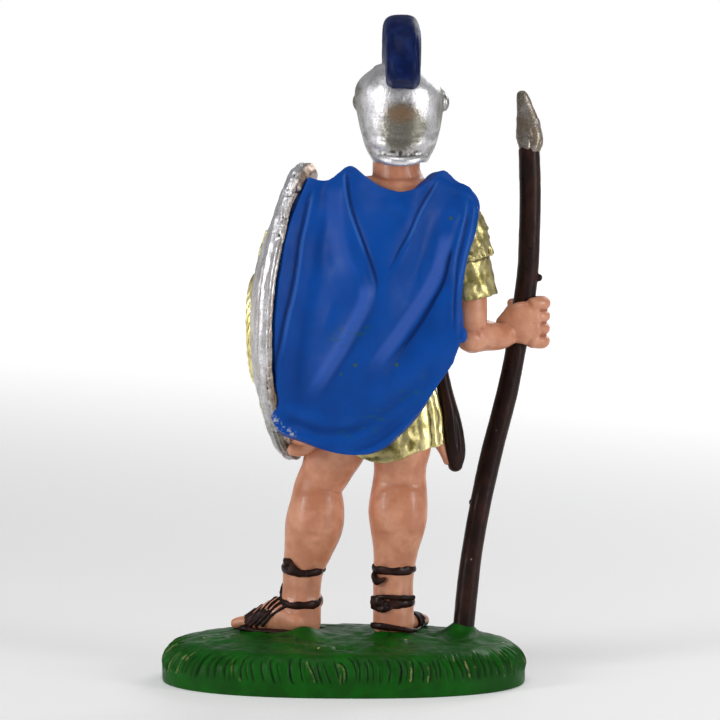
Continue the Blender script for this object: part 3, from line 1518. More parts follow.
def buildTunic():
    clay = newClay()
    limb(clay, tunic["body"], sides=48)
    for way in (-1, 1):
        ball(clay, (-8.4 + way * 4.3, -5.6, 64.2), (4.5, 2.3, 3.3))
        ball(clay, (-7.2 + way * 2.2, -6.9, 56.4), (2.0, 1.4, 1.8))
        ball(clay, (-6.6 + way * 2.1, -6.7, 51.4), (1.9, 1.4, 1.6))
    rows = smoothRows(tunic["skirt"], 6)
    lining = [np.array((r[0], r[1], r[2], r[3] - 1.3, r[4] - 1.3)) for r in (rows[-1], rows[-8])]
    turns = fullTurn(tunic["strips"] * 12)
    rings = []
    for x, y, z, rx, ry in [*rows, *lining]:
        depth = 0.38 * min(1.0, max(0.0, (44.5 - z) / 6))
        strip = 1 - 2 * np.abs(np.cos(tunic["strips"] / 2 * turns)) ** 8
        depth = (
            depth
            * (1 - 0.9 * ease(1.6 * np.sin(turns)) * ease((x + rx * np.cos(turns) + 13.4) / 2.0))
        )
        px = x + (rx + depth * strip) * np.cos(turns)
        dip = (
            tunic["dip"]
            * ease(1.4 * np.sin(turns))
            * np.exp(-(((px + 6.2) / 5.2) ** 2))
            * min(1.0, max(0.0, (38 - z) / 7))
        )
        rings.append(np.stack([px, y + (ry + depth * strip) * np.sin(turns), z - dip], 1))
    addRings(clay, rings)
    belt = [
        (-5.5 + 8.9 * math.cos(a), -1.7 + 6.7 * math.sin(a), 45.6)
        for a in np.linspace(0, 2 * math.pi, 25)
    ]
    rod(clay, belt, 0.9)
    for (x, y), side in (((-18.5, -1.1), -1), ((1.6, -1.4), 1)):
        for top, bottom, wide, flare in tunic["sleeveTiers"]:
            turns = fullTurn(96)
            rings = []
            for share in np.linspace(0, 1, 12):
                z = top + (bottom - top) * share
                strip = 0.16 * share * (1 - 2 * np.abs(np.cos(5 * turns + 0.5 * z)) ** 4)
                reach = wide + flare * share**0.8 + strip
                lean = side * (70.5 - z) * 0.045
                tilt = -0.20 * share * reach * np.cos(turns)
                rings.append(
                    np.stack(
                        [
                            x + lean + reach * np.cos(turns), y + 0.95 * reach * np.sin(turns),
                            z + tilt,
                        ],
                        1,
                    )
                )
            addRings(clay, rings)
    made = fuse("soldierTunic", clay, soften=1)
    shape = readShape(made)
    rng = np.random.RandomState(4)
    # folds that run under the cloak's hem, beaded ends of the strips
    for k in range(tunic["folds"]):
        z = 29.6 + 0.85 * k
        press(
            shape,
            [
                (-13.6, 4.2, z + 4.0), (-11.6, 5.0, z + 2.2), (-8.0, 6.2, z + 0.4), (-4.0, 6.4, z),
                (0.0, 6.2, z + 0.4),
            ],
            0.30, 0.46 if k % 2 else -0.50,
        )
    for k in range(tunic["strips"]):
        a = 2 * math.pi * (k + 0.5) / tunic["strips"]
        foot = np.array((-4.4 + 11.7 * math.cos(a), -1.0 + 8.9 * math.sin(a), 31.6))
        if math.sin(a) < 0.2:
            press(shape, [foot, foot + (0, 0, 1.4)], 0.5, 0.30)
        top = np.array((-4.6 + 10.6 * math.cos(a), -1.1 + 7.9 * math.sin(a), 37.0))
        wobble = rng.uniform(-0.6, 0.6)
        if math.sin(a) < 0.3 or foot[0] < -12.5:
            press(
                shape, [foot + (wobble * 0.5, 0, 2.0), (foot + top) / 2 + (wobble, 0, 1), top], 0.3,
                -0.20,
            )
    # scales and creases on the sleeves
    for k in range(tunic["creases"]):
        a = rng.uniform(0, 2 * math.pi)
        z = rng.uniform(56, 69)
        lean = -(70.5 - z) * 0.055
        reach = 4.0 + (70 - z) * 0.09
        p = np.array((-18.6 + lean + reach * math.cos(a), -0.8 + 0.95 * reach * math.sin(a), z))
        across, rise = rng.uniform(-2.2, 2.2), rng.uniform(-1.6, 2.4)
        way = np.array((across * math.sin(a), -across * math.cos(a), rise))
        press(shape, [p - way / 2, p, p + way / 2], 0.30, rng.choice((-0.38, 0.30)))
    for line in tunic["cuirassLines"]:
        press(shape, line, 0.5, -0.24)
    crumple = lumps(shape["points"] * (1, 1, 0.6), 0.85, 23) * 0.10
    shape = roughen(
        made, shape,
        lumps(shape["points"], 1.4, 21) * 0.09 + lumps(shape["points"], 3.0, 22) * 0.08 + crumple,
    )
    setMask(made, "hollow", hollowness(shape, 12, 0.15))
    x, y, z = shape["points"].T
    patchy = 0.75 + 0.25 * lumps(shape["points"], 1.6, 24)
    onSleeve = (ease((-16.0 - x) / 1.0) + ease((x - 0.5) / 1.0)) * ease((z - 52) / 2) * patchy
    underHem = ease((x + 13.0) / 1.5) * ease((y - 2.0) / 2.0) * ease((39 - z) / 2)
    setMask(
        made, "tarnish",
        np.clip(
            0.85 * onSleeve + 1.0 * underHem * (0.8 + 0.3 * lumps(shape["points"], 1.2, 25)), 0, 1
        ),
    )
    return settle(made, shape["points"], paints["gold"])


buildTunic()

cloak = {
    "thickness": 2.2,
    "top": [
        (5.8, 2.6, 74.2), (2.9, 1.2, 73.7), (-0.5, 0.8, 76.0), (-3.1, 3.0, 74.4), (-5.8, 4.7, 72.7),
        (-8.7, 5.2, 72.0), (-11.5, 4.6, 72.6),
        (-13.9, 2.5, 74.0), (-15.7, 0.7, 75.3), (-17.8, 0.0, 73.6), (-20.0, -0.4, 72.5),
        (-21.6, -0.8, 69.6),
    ],
    "hem": [
        (11.8, 7.4, 36.3), (10.5, 8.1, 34.3), (7.1, 8.7, 32.8), (3.2, 8.9, 31.2), (-0.8, 8.8, 30.4),
        (-4.8, 8.7, 30.9), (-8.5, 8.3, 33.7), (-13.0, 7.2, 38.8), (-17.4, 5.4, 44.8),
    ],
    "right": [
        (-21.6, -0.8, 69.6), (-20.9, 2.7, 65.8), (-19.4, 4.2, 61.0), (-18.6, 4.6, 55.0),
        (-18.8, 5.2, 50.0), (-17.4, 5.4, 44.8),
    ],
    "rolls": [
        [
            (-0.6, -0.6, 73.4), (-2.8, -3.9, 72.4), (-7.6, -6.9, 69.6), (-12.4, -6.6, 69.4),
            (-15.9, -3.4, 71.4), (-16.0, -0.8, 72.8),
        ],
        [
            (1.0, -2.4, 70.6), (-1.2, -5.2, 69.8), (-6.6, -8.1, 67.6), (-12.2, -7.4, 67.6),
            (-16.6, -3.6, 69.8),
        ],
    ],
    "rollRadius": 1.45,
    "drapeLines": [  # line, width, height
        (
            [
                (-0.6, -0.6, 75.0), (-3.2, -5.0, 73.2), (-8.0, -8.1, 70.6), (-12.6, -7.8, 70.6),
                (-16.4, -4.4, 72.6),
            ],
            0.45, -0.30,
        ),
        (
            [
                (1.0, -3.2, 71.2), (-2.0, -7.2, 68.6), (-7.0, -9.4, 66.8), (-12.4, -8.8, 66.8),
                (-17.0, -4.8, 69.6),
            ],
            0.5, 0.25,
        ),
        ([(2.6, -3.4, 69.6), (-1.6, -7.0, 67.4), (-7.0, -9.0, 66.0)], 0.4, -0.2),
    ],
}

# Each fold: its line in x and z, its height, its reach towards the shield and towards the spear,
# and its fade at both ends.
cloakFolds = [
    (
        [
            (0.9, 73.8), (0.9, 67.4), (-0.3, 61.9), (-2.6, 57.7), (-3.2, 55.2), (-1.7, 52.0),
            (0.8, 47.3), (3.2, 43.6), (5.4, 39.6),
        ],
        0.60, 2.2, 1.0, (0.06, 0.16),
    ),
    (
        [(-3.4, 57.4), (-3.2, 54.8), (-1.6, 51.6), (0.9, 47.1), (3.4, 43.2), (5.8, 39.0)], 0.42,
        1.2, 0.75, (0.3, 0.16),
    ),
    (
        [
            (-0.2, 75.0), (-0.4, 72.1), (-1.1, 68.9), (-2.6, 64.8), (-3.9, 61.2), (-4.9, 57.7),
            (-4.8, 55.0),
        ],
        -0.34, 0.35, 1.1, (0.06, 0.25),
    ),
    (
        [
            (-15.4, 74.2), (-13.4, 70.5), (-12.1, 68.0), (-10.8, 65.1), (-9.5, 62.6), (-8.3, 60.2),
            (-7.0, 58.2),
        ],
        0.52, 0.50, 2.6, (0.05, 0.3),
    ),
    (
        [
            (-14.0, 73.7), (-12.0, 70.5), (-10.7, 68.0), (-9.4, 65.1), (-8.2, 62.8), (-7.1, 60.6),
            (-6.1, 59.0),
        ],
        -0.24, 1.2, 0.35, (0.1, 0.3),
    ),
    (
        [
            (-19.1, 70.6), (-17.4, 68.0), (-16.0, 64.8), (-14.8, 61.9), (-13.4, 58.7),
            (-11.0, 54.8), (-8.6, 52.2), (-6.6, 49.9), (-4.8, 47.3), (-3.0, 44.5), (-0.8, 41.2),
        ],
        0.60, 2.2, 1.1, (0.08, 0.14),
    ),
    (
        [
            (-17.0, 63.3), (-16.2, 60.6), (-15.5, 57.6), (-13.9, 54.6), (-11.9, 51.2), (-9.9, 48.4),
            (-7.3, 45.1), (-5.2, 43.0),
        ],
        -0.34, 0.45, 1.2, (0.15, 0.2),
    ),
    (
        [
            (-19.5, 71.1), (-19.0, 67.9), (-17.9, 63.7), (-17.3, 60.4), (-17.0, 56.6),
            (-16.8, 52.7), (-16.9, 47.8),
        ],
        0.30, 0.45, 0.55, (0.08, 0.2),
    ),
    (
        [
            (-20.5, 70.4), (-20.0, 66.2), (-19.0, 62.3), (-18.2, 58.4), (-17.8, 54.5),
            (-17.7, 51.0), (-17.7, 47.4),
        ],
        0.30, 0.45, 0.5, (0.08, 0.15),
    ),
    (
        [
            (4.9, 72.6), (5.9, 68.0), (6.6, 64.2), (7.2, 59.4), (7.9, 55.5), (8.7, 52.3),
            (9.5, 48.1), (10.1, 44.9), (10.2, 41.7), (10.5, 38.1),
        ],
        0.62, 0.7, 2.0, (0.08, 0.15),
    ),
    ([(1.8, 56.2), (2.4, 53.0), (3.1, 50.7), (3.6, 48.7)], 0.16, 0.6, 1.0, (0.35, 0.4)),
    ([(4.2, 66.5), (3.6, 61.5), (3.6, 56.5), (4.6, 52.0)], -0.22, 1.6, 1.6, (0.3, 0.4)),
    (
        [(10.8, 37.6), (8.4, 37.4), (6.0, 36.5), (3.2, 35.6), (0.5, 35.4)], 0.32, 1.0, 1.4,
        (0.3, 0.4),
    ),
    (
        [(9.8, 36.0), (6.5, 35.0), (2.8, 34.0), (-1.2, 34.4), (-4.6, 35.8)], -0.26, 0.6, 0.7,
        (0.15, 0.3),
    ),
    (
        [
            (9.4, 34.6), (6.0, 33.0), (2.8, 32.3), (-0.8, 32.6), (-4.3, 34.2), (-7.9, 36.6),
            (-11.4, 39.6), (-14.2, 43.2),
        ],
        0.26, 0.7, 0.9, (0.1, 0.2),
    ),
    (
        [
            (8.6, 33.4), (5.0, 31.7), (1.5, 30.8), (-1.6, 30.9), (-5.2, 32.3), (-8.4, 34.6),
            (-11.4, 37.2), (-14.4, 41.0),
        ],
        -0.20, 0.40, 0.45, (0.1, 0.2),
    ),
    (
        [(-2.0, 38.6), (-6.0, 40.0), (-10.0, 42.6), (-13.0, 46.0), (-15.2, 50.0)], 0.35, 1.8, 2.0,
        (0.3, 0.3),
    ),
    ([(-8.0, 44.0), (-11.6, 48.4), (-14.4, 53.6)], -0.20, 1.4, 1.4, (0.3, 0.3)),
    ([(0.6, 41.0), (-2.6, 44.9), (-6.0, 49.4), (-7.6, 53.6)], -0.26, 1.3, 1.3, (0.3, 0.3)),
    ([(-8.4, 71.0), (-8.0, 66.0), (-6.8, 60.5)], -0.30, 2.6, 2.6, (0.1, 0.4)),
]
# Dark pooled paint in the creases and lighter paint on the crisp edges: line, width, strength.
cloakCreases = [
    (
        [
            (-0.2, 75.0), (-0.4, 72.1), (-1.1, 68.9), (-2.6, 64.8), (-3.9, 61.2), (-4.9, 57.7),
            (-4.8, 55.0),
        ],
        0.26, 0.9,
    ),
    (
        [
            (-14.4, 73.4), (-12.4, 70.5), (-11.1, 68.0), (-9.8, 65.1), (-8.5, 62.8), (-7.4, 60.6),
            (-6.4, 58.9),
        ],
        0.24, 0.75,
    ),
    (
        [
            (-17.0, 63.3), (-16.2, 60.6), (-15.5, 57.6), (-13.9, 54.6), (-11.9, 51.2), (-9.9, 48.4),
            (-7.3, 45.1),
        ],
        0.30, 0.9,
    ),
    (
        [(-19.6, 68.9), (-18.5, 63.7), (-17.8, 60.4), (-17.5, 56.6), (-17.3, 52.7), (-17.4, 48.8)],
        0.22, 0.8,
    ),
    (
        [
            (5.4, 73.0), (6.5, 68.0), (7.4, 64.2), (8.0, 59.4), (8.7, 55.5), (9.5, 52.3),
            (10.3, 48.1), (10.9, 44.9), (11.0, 41.7), (11.5, 38.1),
        ],
        0.42, 0.8,
    ),
]
cloakRidges = [
    ([(1.6, 73.0), (1.6, 67.4), (0.6, 61.9), (-1.4, 57.7)], 1.5, 0.55),
    ([(-3.2, 58.2), (-3.2, 55.2), (-1.7, 51.8), (0.8, 47.1), (3.2, 43.2), (5.6, 39.2)], 1.15, 1.0),
    (
        [
            (-16.4, 66.0), (-15.4, 62.5), (-14.4, 59.0), (-12.2, 55.0), (-9.9, 51.7), (-7.9, 48.9),
            (-5.6, 45.8), (-3.6, 42.8),
        ],
        1.05, 1.0,
    ),
]
cloakEdges = [
    ([(0.3, 75.4), (0.1, 72.1), (-0.6, 68.9), (-2.1, 64.8), (-3.4, 61.2)], 0.22, 0.8),
    ([(-15.0, 74.0), (-13.0, 70.7), (-11.7, 68.2), (-10.4, 65.3), (-9.1, 63.0)], 0.22, 0.7),
    ([(-19.5, 71.1), (-19.0, 67.9), (-17.9, 63.7), (-17.3, 60.4), (-17.0, 56.6)], 0.20, 0.6),
    ([(-20.7, 70.0), (-20.1, 66.2), (-19.1, 62.3), (-18.3, 58.4), (-17.9, 54.5)], 0.20, 0.6),
    (
        [
            (5.0, 72.6), (5.9, 68.0), (6.7, 64.2), (7.3, 59.4), (8.0, 55.5), (8.8, 52.3),
            (9.6, 48.1), (10.2, 44.9),
        ],
        0.24, 0.7,
    ),
]


def alongCurve(points, shares):
    rows = smoothRows(points, 12)
    at = np.asarray(shares) * (len(rows) - 1)
    low = np.minimum(at.astype(int), len(rows) - 2)
    f = (at - low)[..., None]
    return rows[low] * (1 - f) + rows[low + 1] * f


# crease, depth, width
cloakCuts = ((0, 0.20, 0.30), (1, 0.16, 0.26), (2, 0.26, 0.32), (3, 0.14, 0.24), (4, 0.20, 0.45))
for crease, depth, width in cloakCuts:
    cloakFolds.append((cloakCreases[crease][0], -depth, width, width, (0.08, 0.25)))


def paintFold(shape, values, line, width, strength):
    # a line of paint on the cloak's back, given in x and z
    flat = np.column_stack([shape["points"][:, 0], np.zeros(len(values)), shape["points"][:, 2]])
    index, apart, share = nearLine(flat, smoothRows([(x, 0, z) for x, z in line], 6), width * 1.6)
    fade = (
        ease(share / 0.1)
        * ease((1 - share) / 0.25)
        * ease((shape["normals"][index, 1] - 0.1) / 0.3)
    )
    values[index] = np.maximum(
        values[index], strength * fade * ease((width - apart) / (0.8 * width) + 0.4)
    )


def foldLift(x, z):
    # how far the folds lift the cloth at each point of the back
    places = np.stack([x, z], 1)
    lift = np.zeros(len(x))
    for points, height, left, right, fade in cloakFolds:
        line = smoothRows(points, 6)
        reach = 3.2 * max(left, right)
        low, high = line.min(0) - reach, line.max(0) + reach
        index = np.nonzero(np.all((places >= low) & (places <= high), axis=1))[0]
        if not len(index):
            continue
        chosen = places[index]
        lengths = np.linalg.norm(np.diff(line, axis=0), axis=1)
        run = np.concatenate([[0], np.cumsum(lengths)])
        best, share, sign = np.full(len(index), 1e9), np.zeros(len(index)), np.ones(len(index))
        for i, length in enumerate(lengths):
            way = (line[i + 1] - line[i]) / length
            off = chosen - line[i]
            t = np.clip(off @ way, 0, length)
            apart = np.linalg.norm(off - t[:, None] * way, axis=1)
            closer = apart < best
            best[closer] = apart[closer]
            share[closer] = (run[i] + t[closer]) / run[-1]
            sign[closer] = np.sign(way[0] * off[closer, 1] - way[1] * off[closer, 0])
        width = np.where(sign > 0, left, right)
        along = ease(share / fade[0]) * ease((1 - share) / fade[1])
        lift[index] += height * along * np.exp(-((best / width) ** 2))
    return lift


def buildCloak():
    columns, rows = 90, 110
    ups = np.array((0.86, 0.6, 0.3, 0.0, -0.25, -0.45, -0.57))
    left = [tuple(shieldPoint(u, 0.96 * math.sqrt(1 - u * u), -0.18)) for u in ups]
    left = [cloak["top"][0]] + left[1:] + [cloak["hem"][0]]
    s, t = np.meshgrid(np.linspace(0, 1, columns + 1), np.linspace(0, 1, rows + 1), indexing="ij")
    across, down = s[..., None], t[..., None]
    flat = alongCurve(cloak["top"], s) * (1 - down) + alongCurve(cloak["hem"], s) * down
    sides = alongCurve(left, t) * (1 - across) + alongCurve(cloak["right"], t) * across
    corners = (
        (np.array(cloak["top"][0]) * (1 - across) + np.array(cloak["top"][-1]) * across)
        * (1 - down)
    )
    corners = (
        corners
        + (np.array(cloak["hem"][0]) * (1 - across) + np.array(cloak["hem"][-1]) * across) * down
    )
    grid = flat + sides - corners
    inside = (
        np.minimum(1, 6 * s)
        * np.minimum(1, 6 * (1 - s))
        * np.minimum(1, 5 * t)
        * np.minimum(1, 8 * (1 - t))
    )
    grid[..., 1] -= 0.7 * inside
    points = grid.reshape(-1, 3)
    wide = rows + 1
    faces = []
    for i in range(columns):
        for j in range(rows):
            faces.append(
                (i * wide + j, (i + 1) * wide + j, (i + 1) * wide + j + 1, i * wide + j + 1)
            )
    sheet = meshObject("sheet", points, faces)
    sheet.data.update()
    if sum(face.normal.y for face in sheet.data.polygons) < 0:
        sheet.data.flip_normals()
    solid = sheet.modifiers.new("thickness", "SOLIDIFY")
    solid.thickness = cloak["thickness"]
    solid.offset = -1
    applyModifiers(sheet)
    clay = clayOf(sheet)
    limb(
        clay,
        [
            (-9.0, 0.2, 66.5, 8.5, 4.6), (-8.0, 1.4, 60.0, 8.6, 5.4), (-6.0, 1.8, 50.0, 8.0, 5.6),
            (-3.5, 2.6, 41.0, 8.2, 5.6),
        ],
        sides=48,
    )
    for roll in cloak["rolls"]:
        rod(clay, roll, cloak["rollRadius"])
    ball(clay, (-17.2, -2.2, 70.0), (3.5, 3.3, 3.0), (0, -24, 0))
    limb(
        clay,
        [
            (-14.2, -0.6, 72.8, 1.9, 1.8), (-16.8, -0.9, 71.7, 2.0, 1.9),
            (-19.2, -1.2, 70.5, 2.0, 1.9), (-20.0, -1.4, 69.0, 1.6, 1.7),
        ],
        across=(0, 1, 0),
    )
    ball(clay, (-18.7, 4.4, 49.2), (0.8, 1.0, 1.3))
    ball(clay, (1.8, -1.6, 70.6), (4.4, 3.4, 3.0), (0, 12, 0))
    made = fuse("soldierCloak", clay, soften=2)
    shape = readShape(made)
    facing = ease((shape["normals"][:, 1] - 0.05) / 0.35)
    lift = foldLift(shape["points"][:, 0], shape["points"][:, 2])
    shape["points"][:, 1] += lift * facing * ease((shape["points"][:, 1] + 1) / 3)
    writeShape(made, shape["points"])
    shape = readShape(made)
    for line, width, height in cloak["drapeLines"]:
        press(shape, line, width, height)
    shape = roughen(made, shape, lumps(shape["points"], 2.4, 31) * 0.05)
    points = shape["points"]
    setMask(
        made, "hollow",
        np.clip(hollowness(shape, 60, 0.42) + 0.3 * ease((52 - points[:, 2]) / 14), -1, 1),
    )
    for name, lines in (("crease", cloakCreases), ("edge", cloakEdges), ("raised", cloakRidges)):
        drawn = np.zeros(len(points))
        for line, width, strength in lines:
            paintFold(shape, drawn, line, width, strength)
        setMask(made, name, drawn)
    streak = np.zeros(len(points))
    paintLine(
        points, streak,
        [
            (-0.8, 10.0, 33.7), (-4.3, 10.0, 35.5), (-7.9, 9.6, 37.7), (-11.4, 9.0, 40.3),
            (-13.7, 8.4, 42.3),
        ],
        2.2, soft=0.8,
    )
    paintLine(points, streak, [(1.0, 10.4, 49.0), (-2.5, 10.4, 50.5)], 1.6, soft=0.8)
    setMask(made, "streak", streak)
    worn = np.zeros(len(points))
    paintLine(points, worn, [(11.6, 8.2, 35.5), (10.6, 8.7, 34.4), (8.8, 9.2, 33.6)], 1.1, soft=0.8)
    setMask(made, "worn", worn)
    settle(made, points, paints["cloak"])
    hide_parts("roman_soldier_figurine")
    return made


buildCloak()

spear = {
    "path": [
        (-29.8, -9.0, 78.4), (-30.1, -9.0, 70.1), (-29.9, -9.0, 62.0), (-29.2, -9.0, 53.8),
        (-28.0, -8.5, 46.4),
        (-26.2, -7.5, 37.5), (-23.9, -6.5, 28.5), (-22.0, -5.0, 19.7), (-20.4, -4.0, 9.9),
        (-19.5, -3.1, 0.0),
    ],
    "radius": 1.75,
    "knots": [((-31.6, -8.8, 57.6), (0.5, 0.5, 0.55)), ((-20.7, -5.3, 21.0), (0.45, 0.5, 0.5))],
    "head": [
        (-29.9, -9.0, 78.9, 1.95, 1.85), (-29.9, -9.0, 79.9, 2.25, 1.75),
        (-29.55, -9.0, 82.6, 1.95, 1.2), (-28.95, -9.0, 85.6, 1.35, 0.9),
        (-28.5, -9.0, 87.5, 0.85, 0.7),
    ],
}
scabbard = {
    "body": [
        (-14.8, -3.4, 47.0, 1.2, 1.7), (-15.9, -3.0, 41.0, 1.2, 1.9),
        (-17.2, -2.6, 34.5, 1.65, 2.1), (-17.9, -2.4, 29.8, 1.8, 2.0),
        (-18.0, -2.3, 27.4, 1.2, 1.5),
    ],
    "grip": [(-14.5, -3.9, 47.5, 0.9, 1.0), (-14.0, -4.6, 51.0, 0.8, 0.9)],
    "pommel": (-13.8, -4.8, 52.2),
    "seam": [(-17.0, -1.2, 45.5), (-17.9, -0.6, 37.25), (-18.4, -0.6, 29.0)],
}
# The cloak's clasp: a disc and its button
clasp = [((-15.7, -7.2, 70.6), (1.6, 1.0, 1.6)), ((-15.7, -8.0, 70.6), (0.8, 0.5, 0.8))]


def buildBrown():
    clay = newClay()
    rod(clay, spear["path"], spear["radius"], sides=24)
    for knot in spear["knots"]:
        ball(clay, *knot)
    limb(clay, scabbard["body"])
    limb(clay, scabbard["grip"])
    made = fuse("spearShaft", clay)
    shape = readShape(made)
    swell = (
        lumps(shape["points"] * (1, 1, 0.3), 2.2, 41) * 0.10
        + lumps(shape["points"], 1.0, 42) * 0.02
    )
    shape["points"] += shape["normals"] * swell[:, None]
    press(shape, scabbard["seam"], 0.3, -0.2)
    writeShape(made, shape["points"])
    shape = readShape(made)
    setMask(made, "hollow", hollowness(shape, 12, 0.16))
    return settle(made, shape["points"], paints["brown"])


def buildSilverTrim():
    clay = newClay()
    limb(clay, spear["head"])
    ball(clay, scabbard["pommel"], (1.3, 1.3, 1.1))
    for disc in clasp:
        ball(clay, *disc)
    made = fuse("spearHead", clay)
    shape = readShape(made)
    for y in (-10.6, -7.4):
        press(
            shape,
            [(-29.9, y, 80.4), (-29.4, y * 0.96 - 0.36, 83.0), (-28.9, y * 0.92 - 0.72, 86.0)], 0.3,
            0.22,
        )
    for a in np.linspace(0, 2 * math.pi, 9):
        press(
            shape,
            [
                (-29.9 + 1.95 * math.cos(a), -9.0 + 1.85 * math.sin(a), 77.9),
                (-29.9 + 2.3 * math.cos(a), -9.0 + 1.8 * math.sin(a), 80.2),
            ],
            0.3, -0.2,
        )
    shape = roughen(
        made, shape,
        lumps(shape["points"], 1.3, 51) * 0.10 + lumps(shape["points"], 0.6, 52) * 0.03,
    )
    setMask(made, "hollow", hollowness(shape, 12, 0.14))
    setMask(made, "dull", np.full(len(shape["points"]), 0.9))
    setMask(made, "warm", 0.30 + 0.2 * lumps(shape["points"], 1.6, 53))
    return settle(made, shape["points"], paints["silver"])


buildBrown()
buildSilverTrim()

sandals = {"strands": 7, "wide": 0.66, "thick": 0.34, "levels": (10.7, 5.3), "sag": 0.55}


def thong(clay, points, wide=None, thick=None, steps=3):
    # a flat strip of leather, standing on edge
    wide = sandals["wide"] if wide is None else wide
    thick = sandals["thick"] if thick is None else thick
    widths = wide if hasattr(wide, "__len__") else [wide] * len(points)
    limb(
        clay, [(*p, w, thick) for p, w in zip(points, widths)], across=(0.1, 0.1, 1), sides=14,
        steps=steps,
    )


def legLoop(leg, level, sag, rng):
    rows = smoothRows(leg, 6)
    row = rows[np.argmin(np.abs(rows[:, 2] - level))]
    points = []
    for t in np.linspace(0, 2 * math.pi, 19):
        drop = sag * max(0, math.sin(t)) + rng.uniform(-0.10, 0.10)
        points.append(
            (
                row[0] + (row[3] - 0.08) * math.cos(t), row[1] + (row[4] - 0.02) * math.sin(t),
                level - drop,
            )
        )
    points[-1] = points[0]
    return points


def buildSandals():
    rng = np.random.RandomState(9)
    clay = newClay()
    for leg, feet, left in (
        (pose["rightLeg"], pose["rightFoot"], False), (pose["leftLeg"], pose["leftFoot"], True)
    ):
        heel, instep, toe, high = feet
        for level in sandals["levels"]:
            loop = legLoop(leg, level, sandals["sag"] if left else 0.1, rng)
            thong(clay, loop, [sandals["wide"] * rng.uniform(0.8, 1.2) for _ in loop])
        heelPoint, toePoint = np.array((*heel, 0.0)), np.array((*toe, 0.0))
        forward = (toePoint - heelPoint) / np.linalg.norm(toePoint - heelPoint)
        side = np.cross(forward, (0, 0, 1))
        rows = smoothRows(footStations(*feet), 8)
        for share in np.linspace(
            0.10, 0.80, sandals["strands"]
        ) if left else np.linspace(0.40, 0.86, 5):
            over = []
            for turn in np.radians((-108, -80, -52, -26, 0, 26, 52, 80, 108)):
                x, y, z, wide, tall = alongCurve(
                    rows, min(1.0, share + (0.34 if left else 0.10) * (1 - math.cos(turn)))
                )
                over.append(
                    np.array((x, y, max(0.25, z + (tall + 0.12) * math.cos(turn))))
                    + side * (wide + 0.12) * math.sin(turn)
                )
            rod(
                clay, over, [(0.27 if left else 0.34) * rng.uniform(0.8, 1.2) for _ in over],
                steps=3,
            )
        limb(
            clay, [(*heel, 0.35, 3.3, 0.7), (*instep, 0.25, 3.3, 0.6), (*toe, 0.25, 2.7, 0.5)],
            across=side,
        )
    # knot of the left leg's upper thong and its tail
    ball(clay, (9.0, 0.2, 11.8), (0.85, 0.9, 0.75))
    thong(
        clay, [(9.6, -0.9, 11.9), (8.8, 0.5, 11.5), (8.0, 1.1, 10.6), (6.2, 1.4, 9.9)],
        (0.5, 0.75, 0.75, 0.35),
    )
    # right leg: tail under the upper thong, doubled thong below with skin between
    thong(
        clay, [(-4.9, 0.3, 10.2), (-4.8, 0.7, 9.3), (-5.4, 1.2, 8.8), (-6.6, 1.5, 9.4)],
        (0.5, 0.75, 0.6, 0.25),
    )
    thong(clay, [(-4.6, 0.5, 6.1), (-6.4, 1.9, 6.5), (-9.2, 1.9, 6.4), (-11.3, 0.4, 6.2)], 0.42)
    thong(clay, [(-4.6, 0.5, 4.7), (-6.2, 1.9, 4.4), (-7.6, 2.1, 4.7)], (0.5, 0.55, 0.3))
    thong(clay, [(-4.5, 0.8, 5.4), (-5.4, 1.5, 5.4), (-6.6, 1.9, 5.2)], (0.7, 0.8, 0.5))
    thong(
        clay,
        [
            (-4.6, 0.9, 1.7), (-6.0, 2.0, 1.7), (-8.0, 2.4, 1.5), (-10.4, 2.0, 1.1),
            (-11.6, 0.8, 0.9),
        ],
        (0.5, 0.62, 0.5, 0.45, 0.3),
    )
    # left instep thong
    rod(
        clay, [(9.9, -1.9, 5.4), (10.2, -2.5, 6.4), (9.9, -2.9, 7.6), (9.4, -2.9, 8.3)],
        (0.35, 0.32, 0.28, 0.22),
    )
    made = fuse("sandalThongs", clay, soften=1)
    shape = readShape(made)
    shape = roughen(made, shape, lumps(shape["points"], 0.8, 61) * 0.08)
    setMask(made, "hollow", hollowness(shape, 10, 0.16))
    return settle(made, shape["points"], paints["brown"])


buildSandals()

base = {
    "length": 58.8,
    "depth": 32.5,
    "thickness": 7.6,
    "wall": 3.0,
    "roundness": 2.35,
    "around": 900,
    "blades": 175,
    "bladeDepth": 0.26,
    "paleTips": 0.30,  # share of the blades with a worn tip
    "tufts": 46,
    "turf": [  # x, y, reach, height: round the spear's foot and both feet
        (-19.5, -3.1, 2.1, 2.1), (-18.3, -2.7, 3.2, 0.7), (-8.1, 1.4, 3.4, 0.6),
        (-5.6, -4.0, 2.6, 0.4),
        (6.4, 1.6, 2.6, 1.4), (12.0, -2.6, 3.4, 0.3),
    ],
}


def baseHeight(share):
    shoulder = base["wall"] + (base["thickness"] - base["wall"]) * 0.80
    outer = (
        base["wall"]
        + (shoulder - base["wall"]) * np.sqrt(
            np.maximum(0, 1 - np.clip((share - 0.8) / 0.2, 0, 1) ** 2.2)
        )
    )
    inner = shoulder + (base["thickness"] - shoulder) * (1 - np.minimum(share / 0.8, 1) ** 2)
    return np.where(share > 0.8, outer, inner)


def baseEdge(angle, share):
    c, s = np.cos(angle), np.sin(angle)
    n = base["roundness"]
    reach = (np.abs(c) ** n + np.abs(s) ** n) ** (-1 / n)
    return c * reach * share * base["length"] / 2, s * reach * share * base["depth"] / 2


